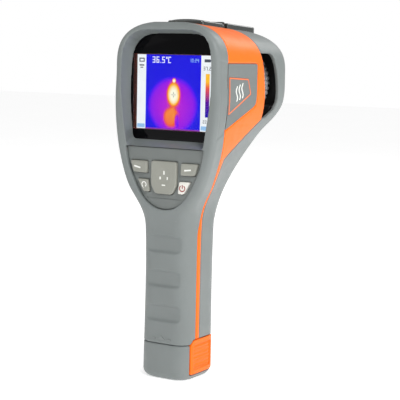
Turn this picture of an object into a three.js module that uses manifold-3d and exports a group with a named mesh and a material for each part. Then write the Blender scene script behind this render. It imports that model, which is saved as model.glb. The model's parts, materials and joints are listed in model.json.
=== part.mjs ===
// A handheld thermal imaging camera, in millimetres, with +Z up.
// The origin is the centre of the flat underside of the battery's base cap. The user looks along +Y at
// the display, which faces -Y, and the infrared lens looks along +Y out of the hood.

import * as THREE from "three";
import { LoftGeometry } from "three/addons/geometries/LoftGeometry.js";
import { mergeVertices } from "three/addons/utils/BufferGeometryUtils.js";
import Module from "manifold-3d";

const wasm = await Module();
wasm.setup();

// ---------------------------------------------------------------- driving dimensions

const GAP = 0.3; // between neighbouring pieces
const WALL = 2.4; // of the housings
const HANDLE_HALF_WIDTH = 17.5;
const HANDLE_REAR = -18.5;
const HANDLE_FRONT = 18.5;
const BASE_ROUNDING = 4; // how far the underside draws in
const BASE_ROUNDING_HEIGHT = 5;
const HEAD_HALF_WIDTH = 37.5;
const HEAD_REAR = -20;
const HEAD_FRONT = 76.5;
const HEAD_TOP = 218.5;
const CROWN_START = 190; // the head's top rounds over from here
const CROWN_END = 0.985; // share of the crown's height where it ends in a flat
const CROWN_DEPTH_CENTRE = 45; // the crown's front edge draws back towards this
const LEAN = 0.045; // fall of the head's top per millimetre towards the lens
const LEAN_START = 150;
const LEAN_END = 215;

const CAP_SEAM = 22.3; // top of the base cap
const REAR_PARTING = -7.5; // between the rear cover and the mid frame, on the head
const HOOD_PARTING = 41.5; // between the mid frame and the front housing, on the head
const DISPLAY_DEPTH = -9.3; // where the display's recess ends
const KEYPAD_FACE = -18; // face of the keypad panel
const KEYPAD_BACK = -15.9;
const SHELF_FACE = -15; // the wall behind the keypad panel
const SHELF_BACK = -13;
const KEY_FACE = -19.8;
const KEY_CLEARANCE = 0.35;
const STEM_END = -13.8;
const NAV_CENTRE = 125;

const LENS_CENTRE = 182.3; // height of the optical axis
const BARREL_RADIUS = 20;
const RING_RADIUS = 24;
const RING_BACK = 54;
const RING_FRONT = 68;
const KNURLS = 36;
const LINER_FRONT = 73;
const LINER_CHIN = 61;
const LENS_HOLE = 21;
const BULKHEAD_BACK = 40.6;
const BULKHEAD_FRONT = 43;
const BULKHEAD_SCREWS = [
  [-27, 197],
  [27, 197],
  [-28.6, 174],
  [28.6, 174],
];

const COVER_HALF_WIDTH = 13; // the plates along the top
const COVER_BOTTOM = 217.3;
const COVER_TOP = 220.6;
const COVER_REAR = 0.5;
const TRIM_FRONT = 69;
const HINGE_Y = 28; // axis of the port cover's hinge
const HINGE_Z = 219.5; // before the lean
const HINGE_RADIUS = 2.1;

const TRIGGER_PIVOT_Y = 23;
const TRIGGER_PIVOT_Z = 121;
const TRIGGER_HALF_WIDTH = 5.2;

const BATTERY_HALF = 12.8;
const BATTERY_TOP = 88;
const LATCH_REAR = -11.4;
const LATCH_FRONT = 14.2;
const LATCH_BOTTOM = 3.8;
const LATCH_TOP = 25;

// ---------------------------------------------------------------- materials

function finish(color, roughness, metalness = 0) {
  return new THREE.MeshStandardMaterial({ color, roughness, metalness });
}

const finishes = {
  grey: finish(0x7c8180, 0.55),
  orange: finish(0xff7a10, 0.45),
  pad: finish(0x767b7a, 0.6),
  keypad: finish(0x4d5150, 0.6),
  key: finish(0x8e8e87, 0.45),
  powerKey: finish(0xdcdad2, 0.45),
  rubber: finish(0x3a3d3c, 0.8),
  ring: finish(0x8b8d90, 0.6),
  darkPlate: finish(0x3f4744, 0.3, 0.2),
  blackPlastic: finish(0x151617, 0.5),
  displayGlass: finish(0x0a0b0e, 0.08),
  germanium: finish(0x2b2f38, 0.12, 0.6),
  clearGlass: finish(0x1a1d22, 0.08),
  lamp: finish(0xe8e8e0, 0.2),
  board: finish(0x1f5c38, 0.5),
  steel: finish(0xb4b7ba, 0.3, 1),
  brass: finish(0xc9a45a, 0.3, 1),
};

// ---------------------------------------------------------------- making solids

// A closed geometry as a solid, turned face out if its profile ran the other way.
function solid(geometry) {
  const positions = new THREE.BufferGeometry();
  const loose = geometry.index ? geometry.toNonIndexed() : geometry;
  positions.setAttribute("position", loose.getAttribute("position"));
  const merged = mergeVertices(positions, 1e-4);
  const corners = merged.index.array;
  const triangles = [];
  for (let i = 0; i < corners.length; i += 3) {
    const [a, b, c] = corners.subarray(i, i + 3);
    if (a !== b && b !== c && c !== a) triangles.push(a, b, c);
  }
  const build = () =>
    new wasm.Manifold(
      new wasm.Mesh({
        numProp: 3,
        vertProperties: merged.attributes.position.array,
        triVerts: new Uint32Array(triangles),
      }),
    );
  const made = build();
  if (made.volume() > 0) return made;
  triangles.reverse();
  return build();
}

function join(...pieces) {
  return pieces.reduce((whole, piece) => whole.add(piece));
}

function cut(body, ...tools) {
  return tools.reduce((rest, tool) => rest.subtract(tool), body);
}

function block([x0, x1], [y0, y1], [z0, z1]) {
  const box = new THREE.BoxGeometry(x1 - x0, y1 - y0, z1 - z0);
  return solid(box.translate((x0 + x1) / 2, (y0 + y1) / 2, (z0 + z1) / 2));
}

// A closed outline through the points, with each corner rounded by about its radius.
function outline(points, radius = 0) {
  const shape = new THREE.Shape();
  points.forEach((point, i) => {
    const corner = new THREE.Vector2(...point);
    const r = Array.isArray(radius) ? radius[i] : radius;
    const towards = (other) =>
      corner.clone().add(new THREE.Vector2(...other).sub(corner).setLength(r));
    const start = r > 0 ? towards(points.at(i - 1)) : corner;
    const end = r > 0 ? towards(points[(i + 1) % points.length]) : corner;
    if (i === 0) shape.moveTo(start.x, start.y);
    else shape.lineTo(start.x, start.y);
    if (r > 0) shape.quadraticCurveTo(corner.x, corner.y, end.x, end.y);
  });
  shape.closePath();
  return shape;
}

// The anticlockwise points with every edge moved outwards.
function grown(points, distance) {
  const normal = (a, b) => new THREE.Vector2(b[1] - a[1], a[0] - b[0]).normalize();
  return points.map((point, i) => {
    const before = normal(points.at(i - 1), point);
    const after = normal(point, points[(i + 1) % points.length]);
    const scale = distance / (1 + before.dot(after));
    const shift = before.add(after).multiplyScalar(scale);
    return [point[0] + shift.x, point[1] + shift.y];
  });
}

function mirrored(points) {
  return points.map(([x, z]) => [-x, z]).reverse();
}

// An outline in X and Z, extruded from y0 to y1.
function plateXZ(shape, y0, y1, curveSegments = 4) {
  const depth = y1 - y0;
  const plate = new THREE.ExtrudeGeometry(shape, { depth, bevelEnabled: false, curveSegments });
  return solid(plate.rotateX(Math.PI / 2).translate(0, y1, 0));
}

// An outline in Y and Z, extruded from x0 to x1.
function plateYZ(shape, x0, x1, curveSegments = 4) {
  const depth = x1 - x0;
  const plate = new THREE.ExtrudeGeometry(shape, { depth, bevelEnabled: false, curveSegments });
  const turn = new THREE.Matrix4().makeBasis(
    new THREE.Vector3(0, 1, 0),
    new THREE.Vector3(0, 0, 1),
    new THREE.Vector3(1, 0, 0),
  );
  return solid(plate.applyMatrix4(turn).translate(x0, 0, 0));
}

// A profile of [radius, y] points turned about an axis along Y through (x, z).
function turnedY(profile, x, z, segments = 32) {
  const points = profile.map(([r, y]) => new THREE.Vector2(r, y));
  return solid(new THREE.LatheGeometry(points, segments).translate(x, 0, z));
}

function rodX(radius, x0, x1, y, z, segments = 16) {
  const rod = new THREE.CylinderGeometry(radius, radius, x1 - x0, segments);
  return solid(rod.rotateZ(Math.PI / 2).translate((x0 + x1) / 2, y, z));
}

function rodY(radius, y0, y1, x, z, segments = 24) {
  const rod = new THREE.CylinderGeometry(radius, radius, y1 - y0, segments);
  return solid(rod.translate(x, (y0 + y1) / 2, z));
}

function ellipsoid(centre, radii) {
  const ball = new THREE.SphereGeometry(1, 16, 8);
  return solid(ball.scale(...radii).translate(...centre));
}

// ---------------------------------------------------------------- the outer form

// The value at z of a smooth curve through the stops, level at its ends.
function along(stops, z) {
  const last = stops.length - 1;
  if (z <= stops[0][0]) return stops[0][1];
  if (z >= stops[last][0]) return stops[last][1];
  const i = stops.findIndex((stop) => stop[0] > z) - 1;
  const slope = (k) => {
    if (k <= 0 || k >= last) return 0;
    return (stops[k + 1][1] - stops[k - 1][1]) / (stops[k + 1][0] - stops[k - 1][0]);
  };
  const span = stops[i + 1][0] - stops[i][0];
  const t = (z - stops[i][0]) / span;
  const rise = stops[i + 1][1] - stops[i][1];
  const a = slope(i) * span;
  const b = slope(i + 1) * span;
  return stops[i][1] + a * t + (3 * rise - 2 * a - b) * t * t + (a + b - 2 * rise) * t ** 3;
}

const REAR_WIDTHS = [
  [0, HANDLE_HALF_WIDTH],
  [94, HANDLE_HALF_WIDTH],
  [106, 19.8],
  [121, 28.5],
  [139, 34.2],
  [155, 36.9],
  [172, 38],
  [CROWN_START, HEAD_HALF_WIDTH],
];
const FRONT_WIDTHS = [
  [0, HANDLE_HALF_WIDTH],
  [110, 17.8],
  [128, 20],
  [150, 28],
  [168, 33],
  [CROWN_START, 34],
];
const FRONT_FACES = [
  [0, HANDLE_FRONT],
  [94, HANDLE_FRONT],
  [103, 20.6],
  [115, 26.4],
  [128, 35.5],
  [150, 52],
  [162, 68.5],
  [171, HEAD_FRONT - 1],
  [CROWN_START, HEAD_FRONT],
];
const REAR_FACES = [
  [0, HANDLE_REAR],
  [92, HANDLE_REAR],
  [112, HEAD_REAR],
  [CROWN_START, HEAD_REAR],
];
const REAR_ROUNDING = [
  [0, 11],
  [95, 11],
  [120, 5.5],
  [CROWN_START, 5],
];
const FRONT_ROUNDING = 11;
const HANDLE_LEVELS = [22, 60, 94, 100, 106, 112, 118, 124, 131, 139, 147, 155, 163, 171, 180, 190];
const CROWN_LEVELS = [0.25, 0.45, 0.6, 0.72, 0.82, 0.9, 0.95, CROWN_END];
const CORNER_STEPS = 3;

// How much of the head's width is left at a share t of the crown's height.
function crown(t) {
  return (1 - Math.max(t, 0) ** 3) ** 0.4;
}

// One level of the form: a rounded trapezoid drawn in by an inset.
function level(z, inset) {
  const t = (z - CROWN_START) / (HEAD_TOP - inset - CROWN_START);
  const left = crown(Math.min(t, CROWN_END));
  const low = Math.max(0, 1 - z / BASE_ROUNDING_HEIGHT);
  const drawn = BASE_ROUNDING * (1 - Math.sqrt(1 - low * low)) + inset;
  const rear = along(REAR_FACES, z) + drawn + 4 * (1 - left);
  const wide = along(REAR_WIDTHS, z) * left - drawn;
  const narrow = along(FRONT_WIDTHS, z) * left - drawn;
  const front = along(FRONT_FACES, z) - (HEAD_FRONT - CROWN_DEPTH_CENTRE) * (1 - left) - drawn;
  const rearRadius = Math.max(along(REAR_ROUNDING, z) - inset, 1) * Math.max(left, 0.5);
  const frontRadius = Math.max(FRONT_ROUNDING - inset, 1) * Math.max(left, 0.5);
  const corners = [
    [-wide, rear, rearRadius],
    [wide, rear, rearRadius],
    [narrow, front, frontRadius],
    [-narrow, front, frontRadius],
  ];
  return corners.flatMap(([x, y, radius], i) => {
    const corner = new THREE.Vector2(x, y);
    const before = new THREE.Vector2(...corners.at(i - 1));
    const after = new THREE.Vector2(...corners[(i + 1) % corners.length]);
    const start = corner.clone().add(before.sub(corner).setLength(radius));
    const end = corner.clone().add(after.sub(corner).setLength(radius));
    const bend = new THREE.QuadraticBezierCurve(start, corner, end);
    return bend.getPoints(CORNER_STEPS).map((p) => {
      const fall = LEAN * p.y * THREE.MathUtils.smoothstep(z, LEAN_START, LEAN_END);
      return new THREE.Vector3(p.x, p.y, z - fall);
    });
  });
}

// The whole outer form drawn in by an inset, standing on z = 0.
function form(inset) {
  const base = [0, 0.1, 0.25, 0.5, 1].map((share) => share * BASE_ROUNDING_HEIGHT);
  const crownHeight = HEAD_TOP - inset - CROWN_START;
  const crownLevels = CROWN_LEVELS.map((share) => CROWN_START + share * crownHeight);
  const sections = [...base, ...HANDLE_LEVELS, ...crownLevels].map((z) => level(z, inset));
  return solid(new LoftGeometry(sections, { capStart: true, capEnd: true }));
}

// A solid drawn with level faces, leaned as the top of the head is.
function leaned(made) {
  const geometry = toGeometry(made);
  const lean = new THREE.Matrix4().set(1, 0, 0, 0, 0, 1, 0, 0, 0, -LEAN, 1, 0, 0, 0, 0, 1);
  return solid(geometry.applyMatrix4(lean));
}

function toGeometry(made) {
  const { vertProperties, triVerts } = made.getMesh();
  const geometry = new THREE.BufferGeometry();
  geometry.setAttribute("position", new THREE.BufferAttribute(vertProperties, 3));
  geometry.setIndex(new THREE.BufferAttribute(triVerts, 1));
  geometry.computeVertexNormals();
  return geometry;
}

const outer = form(0);
const inner = form(WALL);
const inside = form(WALL + GAP);
const around = form(-6);

// What lies between two depths under the surface.
function skin(from, to) {
  return cut(from === 0 ? outer : form(from), form(to));
}

const EVERYWHERE = [-60, 60];

// ---------------------------------------------------------------- outlines

// In X and Z, anticlockwise.
const DISPLAY = [
  [-29.5, 147.3],
  [29.5, 147.3],
  [32.2, 174],
  [30, 212],
  [-30, 212],
  [-32.2, 174],
];
const DISPLAY_CORNERS = [3, 3, 12, 18, 18, 12];
const KEYPAD = [
  [-26.3, 133.4],
  [-20.8, 121.2],
  [-14.8, 112],
  [-7.5, 107],
  [0, 105.6],
  [7.5, 107],
  [14.8, 112],
  [20.8, 121.2],
  [26.3, 133.4],
  [27.9, 143.2],
  [-27.9, 143.2],
];
const SOFT_KEY = [
  [12.1, 127.3],
  [22.2, 127.6],
  [24.3, 134.8],
  [12.3, 134.8],
];
const LOWER_KEY = [
  [10.3, 116],
  [14.6, 116],
  [19, 123.7],
  [11.2, 123.7],
];
const NAV_PAD = [
  [-6, 115.2],
  [6, 115.2],
  [9.2, 120.5],
  [9.2, 135.3],
  [-9.2, 135.3],
  [-9.2, 120.5],
];
const MOUTH = [
  [-27, 157.3],
  [27, 157.3],
  [31, 175],
  [29, 205],
  [-29, 205],
  [-31, 175],
];

// In Y and Z, anticlockwise.
const REAR_REGION = [
  [-60, 10],
  [-6.4, 10],
  [-6.4, 90],
  [-4.2, 101],
  [-2.6, 116],
  [-4.6, 138],
  [REAR_PARTING, 152],
  [REAR_PARTING, 240],
  [-60, 240],
];
const FRONT_REGION = [
  [-2.3, 10],
  [130, 10],
  [130, 240],
  [31, 240],
  [33, 213],
  [36.5, 201],
  [39.8, 190],
  [HOOD_PARTING, 178],
  [HOOD_PARTING, 160],
  [1.5, 137],
  [-0.6, 116],
  [-2.1, 101],
];
const WINDOW = [
  [30, 160.2],
  [46, 161],
  [56, 165.5],
  [60.5, 171.5],
  [59.5, 185],
  [53.5, 201.3],
  [30, 201.3],
];
const PAD = [
  [REAR_PARTING + GAP, 155.3],
  [30.3, 169.5],
  [30.8, 194.8],
  [REAR_PARTING + GAP, 194.8],
];
const LABEL = [
  [-6, 164.2],
  [22, 176.2],
  [18.4, 185.6],
  [-6, 186.6],
];
const LATCH = [
  [LATCH_REAR, LATCH_BOTTOM],
  [LATCH_FRONT, LATCH_BOTTOM],
  [LATCH_FRONT, LATCH_TOP],
  [LATCH_REAR + 2.8, LATCH_TOP],
  [LATCH_REAR, LATCH_TOP - 2.8],
];
const TRIGGER = [
  [17, 96],
  [21, 94],
  [25.6, 95.5],
  [26.2, 103],
  [28.5, 110],
  [31, 116.5],
  [26.8, 118.4],
  [26.4, 123],
  [20, 124.5],
  [19, 114],
];

const KEYS = {
  left_soft_key: mirrored(SOFT_KEY),
  right_soft_key: SOFT_KEY,
  back_key: mirrored(LOWER_KEY),
  power_key: LOWER_KEY,
};

function middle(points) {
  const xs = points.map(([x]) => x);
  const zs = points.map(([, z]) => z);
  return [(Math.min(...xs) + Math.max(...xs)) / 2, (Math.min(...zs) + Math.max(...zs)) / 2];
}

// ---------------------------------------------------------------- housings

function latchRoom() {
  return plateYZ(outline(grown(LATCH, 0.4), 0.5), 8, 60).intersect(cut(around, form(4.2)));
}

// The same solid on the other side of the middle plane.
function flipped(made) {
  return solid(toGeometry(made).scale(-1, 1, 1));
}

const hollow = cut(inner, block(EVERYWHERE, [40, 130], [-10, 156]));
const walls = cut(
  outer,
  hollow,
  block(EVERYWHERE, EVERYWHERE, [-10, CAP_SEAM + GAP]),
  latchRoom(),
);

function rearCover() {
  const region = plateYZ(outline(grown(REAR_REGION, -GAP / 2)), ...EVERYWHERE);
  const tray = plateXZ(outline(grown(DISPLAY, 2.2), DISPLAY_CORNERS), -19, DISPLAY_DEPTH);
  const shelf = plateXZ(outline(grown(KEYPAD, 2.4), 2), -19, SHELF_BACK);
  const body = join(walls.intersect(region), tray.intersect(outer), shelf.intersect(outer));
  const scoops = [41.6, 63, 84.3].map((z) => ellipsoid([0, HANDLE_REAR - 1.7, z], [12.5, 3, 5.6]));
  const stems = Object.values(KEYS).map((key) => rodY(2, -20, -10, ...middle(key), 16));
  return cut(
    body,
    plateXZ(outline(DISPLAY, DISPLAY_CORNERS), -40, 0),
    plateXZ(outline(grown(KEYPAD, GAP), 2), -40, SHELF_FACE),
    rodY(3.1, -20, -10, 0, NAV_CENTRE),
    ...stems,
    ...scoops,
  );
}

function coverPocket() {
  const width = COVER_HALF_WIDTH + GAP;
  return leaned(block([-width, width], [COVER_REAR - GAP, TRIM_FRONT + 0.4], [COVER_BOTTOM - GAP, 240]));
}

function hingeHole() {
  return rodX(1.1, -12, 12, HINGE_Y, HINGE_Z);
}

function outerKnuckle(x0, x1) {
  const lug = block([x0, x1], [HINGE_Y - 1.5, HINGE_Y + 1.5], [214, HINGE_Z]);
  return leaned(cut(join(rodX(HINGE_RADIUS, x0, x1, HINGE_Y, HINGE_Z), lug), hingeHole()));
}

function padRoom() {
  const room = plateYZ(outline(grown(PAD, GAP), [1, 4, 2, 1]), 0, 60);
  const sunk = room.intersect(cut(around, form(1.3)));
  return join(sunk, flipped(sunk));
}

function midFrame() {
  const rear = plateYZ(outline(grown(REAR_REGION, GAP / 2)), ...EVERYWHERE);
  const front = plateYZ(outline(grown(FRONT_REGION, GAP / 2)), ...EVERYWHERE);
  const portBox = leaned(block([-11.5, 11.5], [0.5, 25], [206, 217])).intersect(outer);
  const portWell = leaned(block([-9.5, 9.5], [2.5, 23], [208.5, 240]));
  const ring = cut(join(cut(walls, rear, front), portBox), coverPocket(), portWell, padRoom());
  return join(ring, outerKnuckle(6.3, 11.5), outerKnuckle(-11.5, -6.3));
}

function triggerBoss(x0, x1) {
  const boss = block([x0, x1], [19, 36], [117, 125]).intersect(outer);
  return cut(boss, rodX(1.8, x0 - 1, x1 - 0.8, TRIGGER_PIVOT_Y, TRIGGER_PIVOT_Z));
}

const HANDLE_SCREWS = [47, 69.5];

function frontHousing() {
  const region = plateYZ(outline(grown(FRONT_REGION, -GAP / 2)), ...EVERYWHERE);
  const boss = triggerBoss(6.2, 9.4);
  const body = join(walls.intersect(region), boss, flipped(boss));
  const waves = [36, 58, 81].map((z) => ellipsoid([0, HANDLE_FRONT + 1.9, z], [13, 3.2, 8]));
  const sinks = HANDLE_SCREWS.map((z) => join(rodY(2.9, 16.6, 25, 0, z), rodY(1.5, 10, 17, 0, z)));
  return cut(
    body,
    plateYZ(outline(WINDOW, [0, 1, 3, 3, 6, 4, 0]), ...EVERYWHERE),
    plateXZ(outline(MOUTH, [6, 6, 9, 14, 14, 9]), 44, 130),
    block([-TRIGGER_HALF_WIDTH - 0.6, TRIGGER_HALF_WIDTH + 0.6], [10, 45], [92.5, 119.8]),
    coverPocket(),
    ...waves,
    ...sinks,
  );
}

function sidePad() {
  const face = plateYZ(outline(PAD, [1, 4, 2, 1]), 0, 60).intersect(skin(0, 1));
  const sunk = plateYZ(outline(grown(LABEL, 0.25), 0.8), 0, 60);
  return cut(face, sunk.intersect(cut(around, form(0.75))));
}

function labelPlate() {
  return plateYZ(outline(LABEL, 0.8), 0, 60).intersect(skin(0, 0.45));
}

// ---------------------------------------------------------------- display and keypad

function displayWindow() {
  return plateXZ(outline(grown(DISPLAY, 0.7), DISPLAY_CORNERS), -9, -7.8).intersect(inside);
}

function windowGasket() {
  const outside = plateXZ(outline(grown(DISPLAY, 2.1), DISPLAY_CORNERS), -9, -7.8);
  const hole = plateXZ(outline(grown(DISPLAY, 1), DISPLAY_CORNERS), -12, -5);
  return cut(outside.intersect(inside), hole);
}

function lcdPanel() {
  return block([-29, 29], [-7.5, -5.2], [151.5, 201.5]);
}

function keypadPanel() {
  const plate = plateXZ(outline(KEYPAD, 2), KEYPAD_FACE, SHELF_FACE - GAP);
  const holes = Object.values(KEYS).map((key) => keyHole(key));
  return cut(plate, keyHole(NAV_PAD), ...holes);
}

function keyHole(points) {
  return plateXZ(outline(grown(points, KEY_CLEARANCE), 1.3), -30, -10);
}

function key(points) {
  const cap = plateXZ(outline(points, 1.2), KEY_FACE, KEYPAD_BACK);
  return join(cap, rodY(1.6, KEYPAD_BACK - 0.5, STEM_END, ...middle(points), 16));
}

function navKey() {
  return plateXZ(outline(NAV_PAD, 2), KEY_FACE, KEYPAD_BACK);
}

function navPivot() {
  return rodY(2.6, KEYPAD_BACK + GAP, SHELF_BACK, 0, NAV_CENTRE);
}

function keypadMembrane() {
  return plateXZ(outline(grown(KEYPAD, -2.5), 1), -12.7, -11.4);
}

function keypadBoard() {
  return plateXZ(outline(grown(KEYPAD, -2.5), 1), -11.1, -9.6);
}

// ---------------------------------------------------------------- inside the head

function mainBoard() {
  return block([-25, 25], [2, 3.6], [112, 204]).intersect(form(4));
}

function irCore() {
  const body = block([-15, 15], [12, 27], [LENS_CENTRE - 15, LENS_CENTRE + 15]);
  return join(body, rodY(9, 26, 31, 0, LENS_CENTRE));
}

const SHUTTER_PIVOT = [15, LENS_CENTRE + 12];

function shutterFlag() {
  const blade = rodY(7.5, 31.9, 32.5, 0, LENS_CENTRE);
  const arm = plateXZ(
    outline([
      [0, LENS_CENTRE - 3],
      [SHUTTER_PIVOT[0] + 2.4, SHUTTER_PIVOT[1] - 1.8],
      [SHUTTER_PIVOT[0] - 1.6, SHUTTER_PIVOT[1] + 2.4],
      [-3, LENS_CENTRE + 4],
    ]),
    31.9,
    32.5,
  );
  return cut(join(blade, arm), rodY(1.1, 30, 34, ...SHUTTER_PIVOT, 12));
}

function shutterPost() {
  return rodY(0.8, 31.3, 33.2, ...SHUTTER_PIVOT, 12);
}

const CAMERA_AT = [-22.5, 163.2];
const LAMP_AT = [22.5, 163.2];

// The black face inside the hood's mouth, with the lens, the camera and the lamp looking through it.
function frontLiner() {
  const plan = outline(grown(MOUTH, -GAP), [6, 6, 9, 14, 14, 9]);
  const chin = plateXZ(plan, LINER_CHIN, LINER_FRONT).intersect(block(EVERYWHERE, [50, 90], [150, 168]));
  const face = join(plateXZ(plan, RING_FRONT + 1, LINER_FRONT), chin);
  return cut(
    face.intersect(form(1.6)),
    rodY(RING_RADIUS + 0.8, 50, RING_FRONT + 0.6, 0, LENS_CENTRE, 48),
    rodY(LENS_HOLE, 60, 80, 0, LENS_CENTRE, 48),
    rodY(3.5, LINER_CHIN + 1.3, 80, ...CAMERA_AT),
    rodY(3.5, LINER_CHIN + 1.3, 80, ...LAMP_AT),
  );
}

function frontBulkhead() {
  const wall = block(EVERYWHERE, [BULKHEAD_BACK, BULKHEAD_FRONT], [156.3, 240]);
  return cut(wall.intersect(inside), rodY(BARREL_RADIUS + GAP, 38, 50, 0, LENS_CENTRE, 32));
}

function lensBarrel() {
  const r = BARREL_RADIUS;
  const profile = [
    [16, 34],
    [r, 34],
    [r, 66.2],
    [17.9, 66.2],
    [17.9, 58.2],
    [16, 58.2],
    [16, 34],
  ];
  return turnedY(profile, 0, LENS_CENTRE);
}

function irLens() {
  const profile = [
    [0, 58.5],
    [17.5, 58.5],
    [17.5, 61],
    [14, 61.9],
    [8, 62.5],
    [0, 62.7],
  ];
  return turnedY(profile, 0, LENS_CENTRE);
}

function lensRetainingRing() {
  const profile = [
    [14.6, 63],
    [17.6, 63],
    [17.6, 65.9],
    [16.4, 65.9],
    [14.6, 64],
    [14.6, 63],
  ];
  return turnedY(profile, 0, LENS_CENTRE);
}

function focusRing() {
  const points = [];
  for (let i = 0; i < KNURLS; i += 1) {
    const middleAngle = (i * 2 * Math.PI) / KNURLS;
    const halfTooth = (0.3 * 2 * Math.PI) / KNURLS;
    const halfRoot = (0.42 * 2 * Math.PI) / KNURLS;
    const corners = [
      [RING_RADIUS - 0.9, -halfRoot],
      [RING_RADIUS, -halfTooth],
      [RING_RADIUS, halfTooth],
      [RING_RADIUS - 0.9, halfRoot],
    ];
    corners.forEach(([r, turn]) => {
      const angle = middleAngle + turn;
      points.push([r * Math.cos(angle), LENS_CENTRE + r * Math.sin(angle)]);
    });
  }
  const ring = plateXZ(outline(points), RING_BACK, RING_FRONT);
  return cut(ring, rodY(BARREL_RADIUS + GAP, 40, 80, 0, LENS_CENTRE, 48));
}

// ---------------------------------------------------------------- top, trigger and battery

function topPlate(y0, y1, bottom, top, corner) {
  const w = COVER_HALF_WIDTH;
  const plan = outline(
    [
      [-w, y0],
      [w, y0],
      [w, y1],
      [-w, y1],
    ],
    corner,
  );
  const depth = top - bottom;
  const plate = new THREE.ExtrudeGeometry(plan, { depth, bevelEnabled: false, curveSegments: 4 });
  return leaned(solid(plate.translate(0, 0, bottom)));
}

function portCover() {
  const web = block([-6, 6], [HINGE_Y - 4, HINGE_Y], [HINGE_Z - 1.2, HINGE_Z + 1.2]);
  const knuckle = cut(join(web, rodX(HINGE_RADIUS, -6, 6, HINGE_Y, HINGE_Z)), hingeHole());
  return join(topPlate(COVER_REAR, HINGE_Y - 2.8, COVER_BOTTOM, COVER_TOP, [3, 3, 1, 1]), leaned(knuckle));
}

function portHingePin() {
  return leaned(rodX(0.8, -11.3, 11.3, HINGE_Y, HINGE_Z, 12));
}

// The fixed plate in front of the hinge, whose underside follows the hood.
function topTrim() {
  const top = COVER_TOP + 0.4;
  const plate = topPlate(HINGE_Y + 2.6, TRIM_FRONT, 206, top, [1, 1, 7, 7]);
  const seat = cut(plate, form(-GAP));
  return join(seat, topPlate(HINGE_Y + 2.6, TRIM_FRONT - 5, COVER_BOTTOM, top, [1, 1, 7, 7]));
}

function socket(x, y, slotX, slotY) {
  const body = block([-x, x], [y - 2, y + 2], [208.8, 215.2]);
  return leaned(cut(body, block([-slotX, slotX], [y - slotY, y + slotY], [210.5, 220])));
}

function trigger() {
  const radii = [1.5, 2, 2.5, 6, 6, 1.5, 1.5, 2, 2, 4];
  const lever = plateYZ(outline(TRIGGER, radii), -TRIGGER_HALF_WIDTH, TRIGGER_HALF_WIDTH);
  return cut(lever, rodX(1.8, -8, 8, TRIGGER_PIVOT_Y, TRIGGER_PIVOT_Z));
}

function triggerPin() {
  return rodX(1.5, -8.2, 8.2, TRIGGER_PIVOT_Y, TRIGGER_PIVOT_Z);
}

function triggerSpring() {
  const turns = 5;
  const points = [];
  for (let i = 0; i <= turns * 8; i += 1) {
    const angle = (i * Math.PI) / 4;
    points.push(new THREE.Vector3(2 * Math.cos(angle), 10 + i * 0.112, 106 + 2 * Math.sin(angle)));
  }
  const extrudePath = new THREE.CatmullRomCurve3(points);
  const wire = new THREE.Shape().absarc(0, 0, 0.3, 0, 2 * Math.PI);
  const options = { extrudePath, steps: turns * 8, curveSegments: 3, bevelEnabled: false };
  return solid(new THREE.ExtrudeGeometry(wire, options));
}

function batteryCase() {
  const h = BATTERY_HALF;
  const plan = outline(
    [
      [-h, -h],
      [h, -h],
      [h, h],
      [-h, h],
    ],
    4,
  );
  const depth = BATTERY_TOP - CAP_SEAM - GAP;
  const block = new THREE.ExtrudeGeometry(plan, { depth, bevelEnabled: false, curveSegments: 4 });
  return solid(block.translate(0, 0, CAP_SEAM + GAP));
}

function baseCap() {
  const cap = outer.intersect(block(EVERYWHERE, EVERYWHERE, [-10, CAP_SEAM]));
  const lanyardEyes = [-9.5, -3.5].map((y) => rodX(1.3, -30, -13.6, y, 13.2, 12));
  return cut(cap, latchRoom(), ...lanyardEyes, rodY(1.3, -9.5, -3.5, -14.4, 13.2, 12));
}

function latch() {
  return plateYZ(outline(LATCH, 1), 9, 60).intersect(cut(form(-0.4), form(2)));
}

function latchSpring() {
  return block([13.6, 13.85], [-6, 6], [8, 18]);
}

function screwHead(x, z, y0, y1) {
  const slot = block([x - 1.4, x + 1.4], [y0 - 1, y1 + 1], [z - 0.3, z + 0.3]);
  const seat = block([x - 3, x + 3], [y0 + 0.6, y1 - 0.6], [z - 3, z + 3]);
  return cut(rodY(2.2, y0, y1, x, z, 12), cut(slot, seat));
}

function handleScrew(z) {
  const profile = [
    [0, 14.2],
    [1.2, 14.2],
    [1.2, 16.9],
    [2.6, 16.9],
    [2.6, 17.9],
    [0, 17.9],
  ];
  return turnedY(profile, 0, z, 12);
}

// ---------------------------------------------------------------- the assembly

const camera = new THREE.Group();
camera.name = "thermal_imaging_camera";

function add(name, made, material) {
  const mesh = new THREE.Mesh(toGeometry(made), material);
  mesh.name = name;
  camera.add(mesh);
}

add("rear_cover", rearCover(), finishes.grey);
add("mid_frame", midFrame(), finishes.orange);
add("front_housing", frontHousing(), finishes.grey);
add("side_pad_right", sidePad(), finishes.pad);
add("side_pad_left", flipped(sidePad()), finishes.pad);
add("label_plate_right", labelPlate(), finishes.pad);
add("label_plate_left", flipped(labelPlate()), finishes.pad);

add("display_window", displayWindow(), finishes.displayGlass);
add("window_gasket", windowGasket(), finishes.rubber);
add("lcd_panel", lcdPanel(), finishes.blackPlastic);
add("keypad_panel", keypadPanel(), finishes.keypad);
Object.entries(KEYS).forEach(([name, points]) => {
  add(name, key(points), name === "power_key" ? finishes.powerKey : finishes.key);
});
add("nav_key", navKey(), finishes.key);
add("nav_pivot", navPivot(), finishes.blackPlastic);
add("keypad_membrane", keypadMembrane(), finishes.rubber);
add("keypad_board", keypadBoard(), finishes.board);

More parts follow.
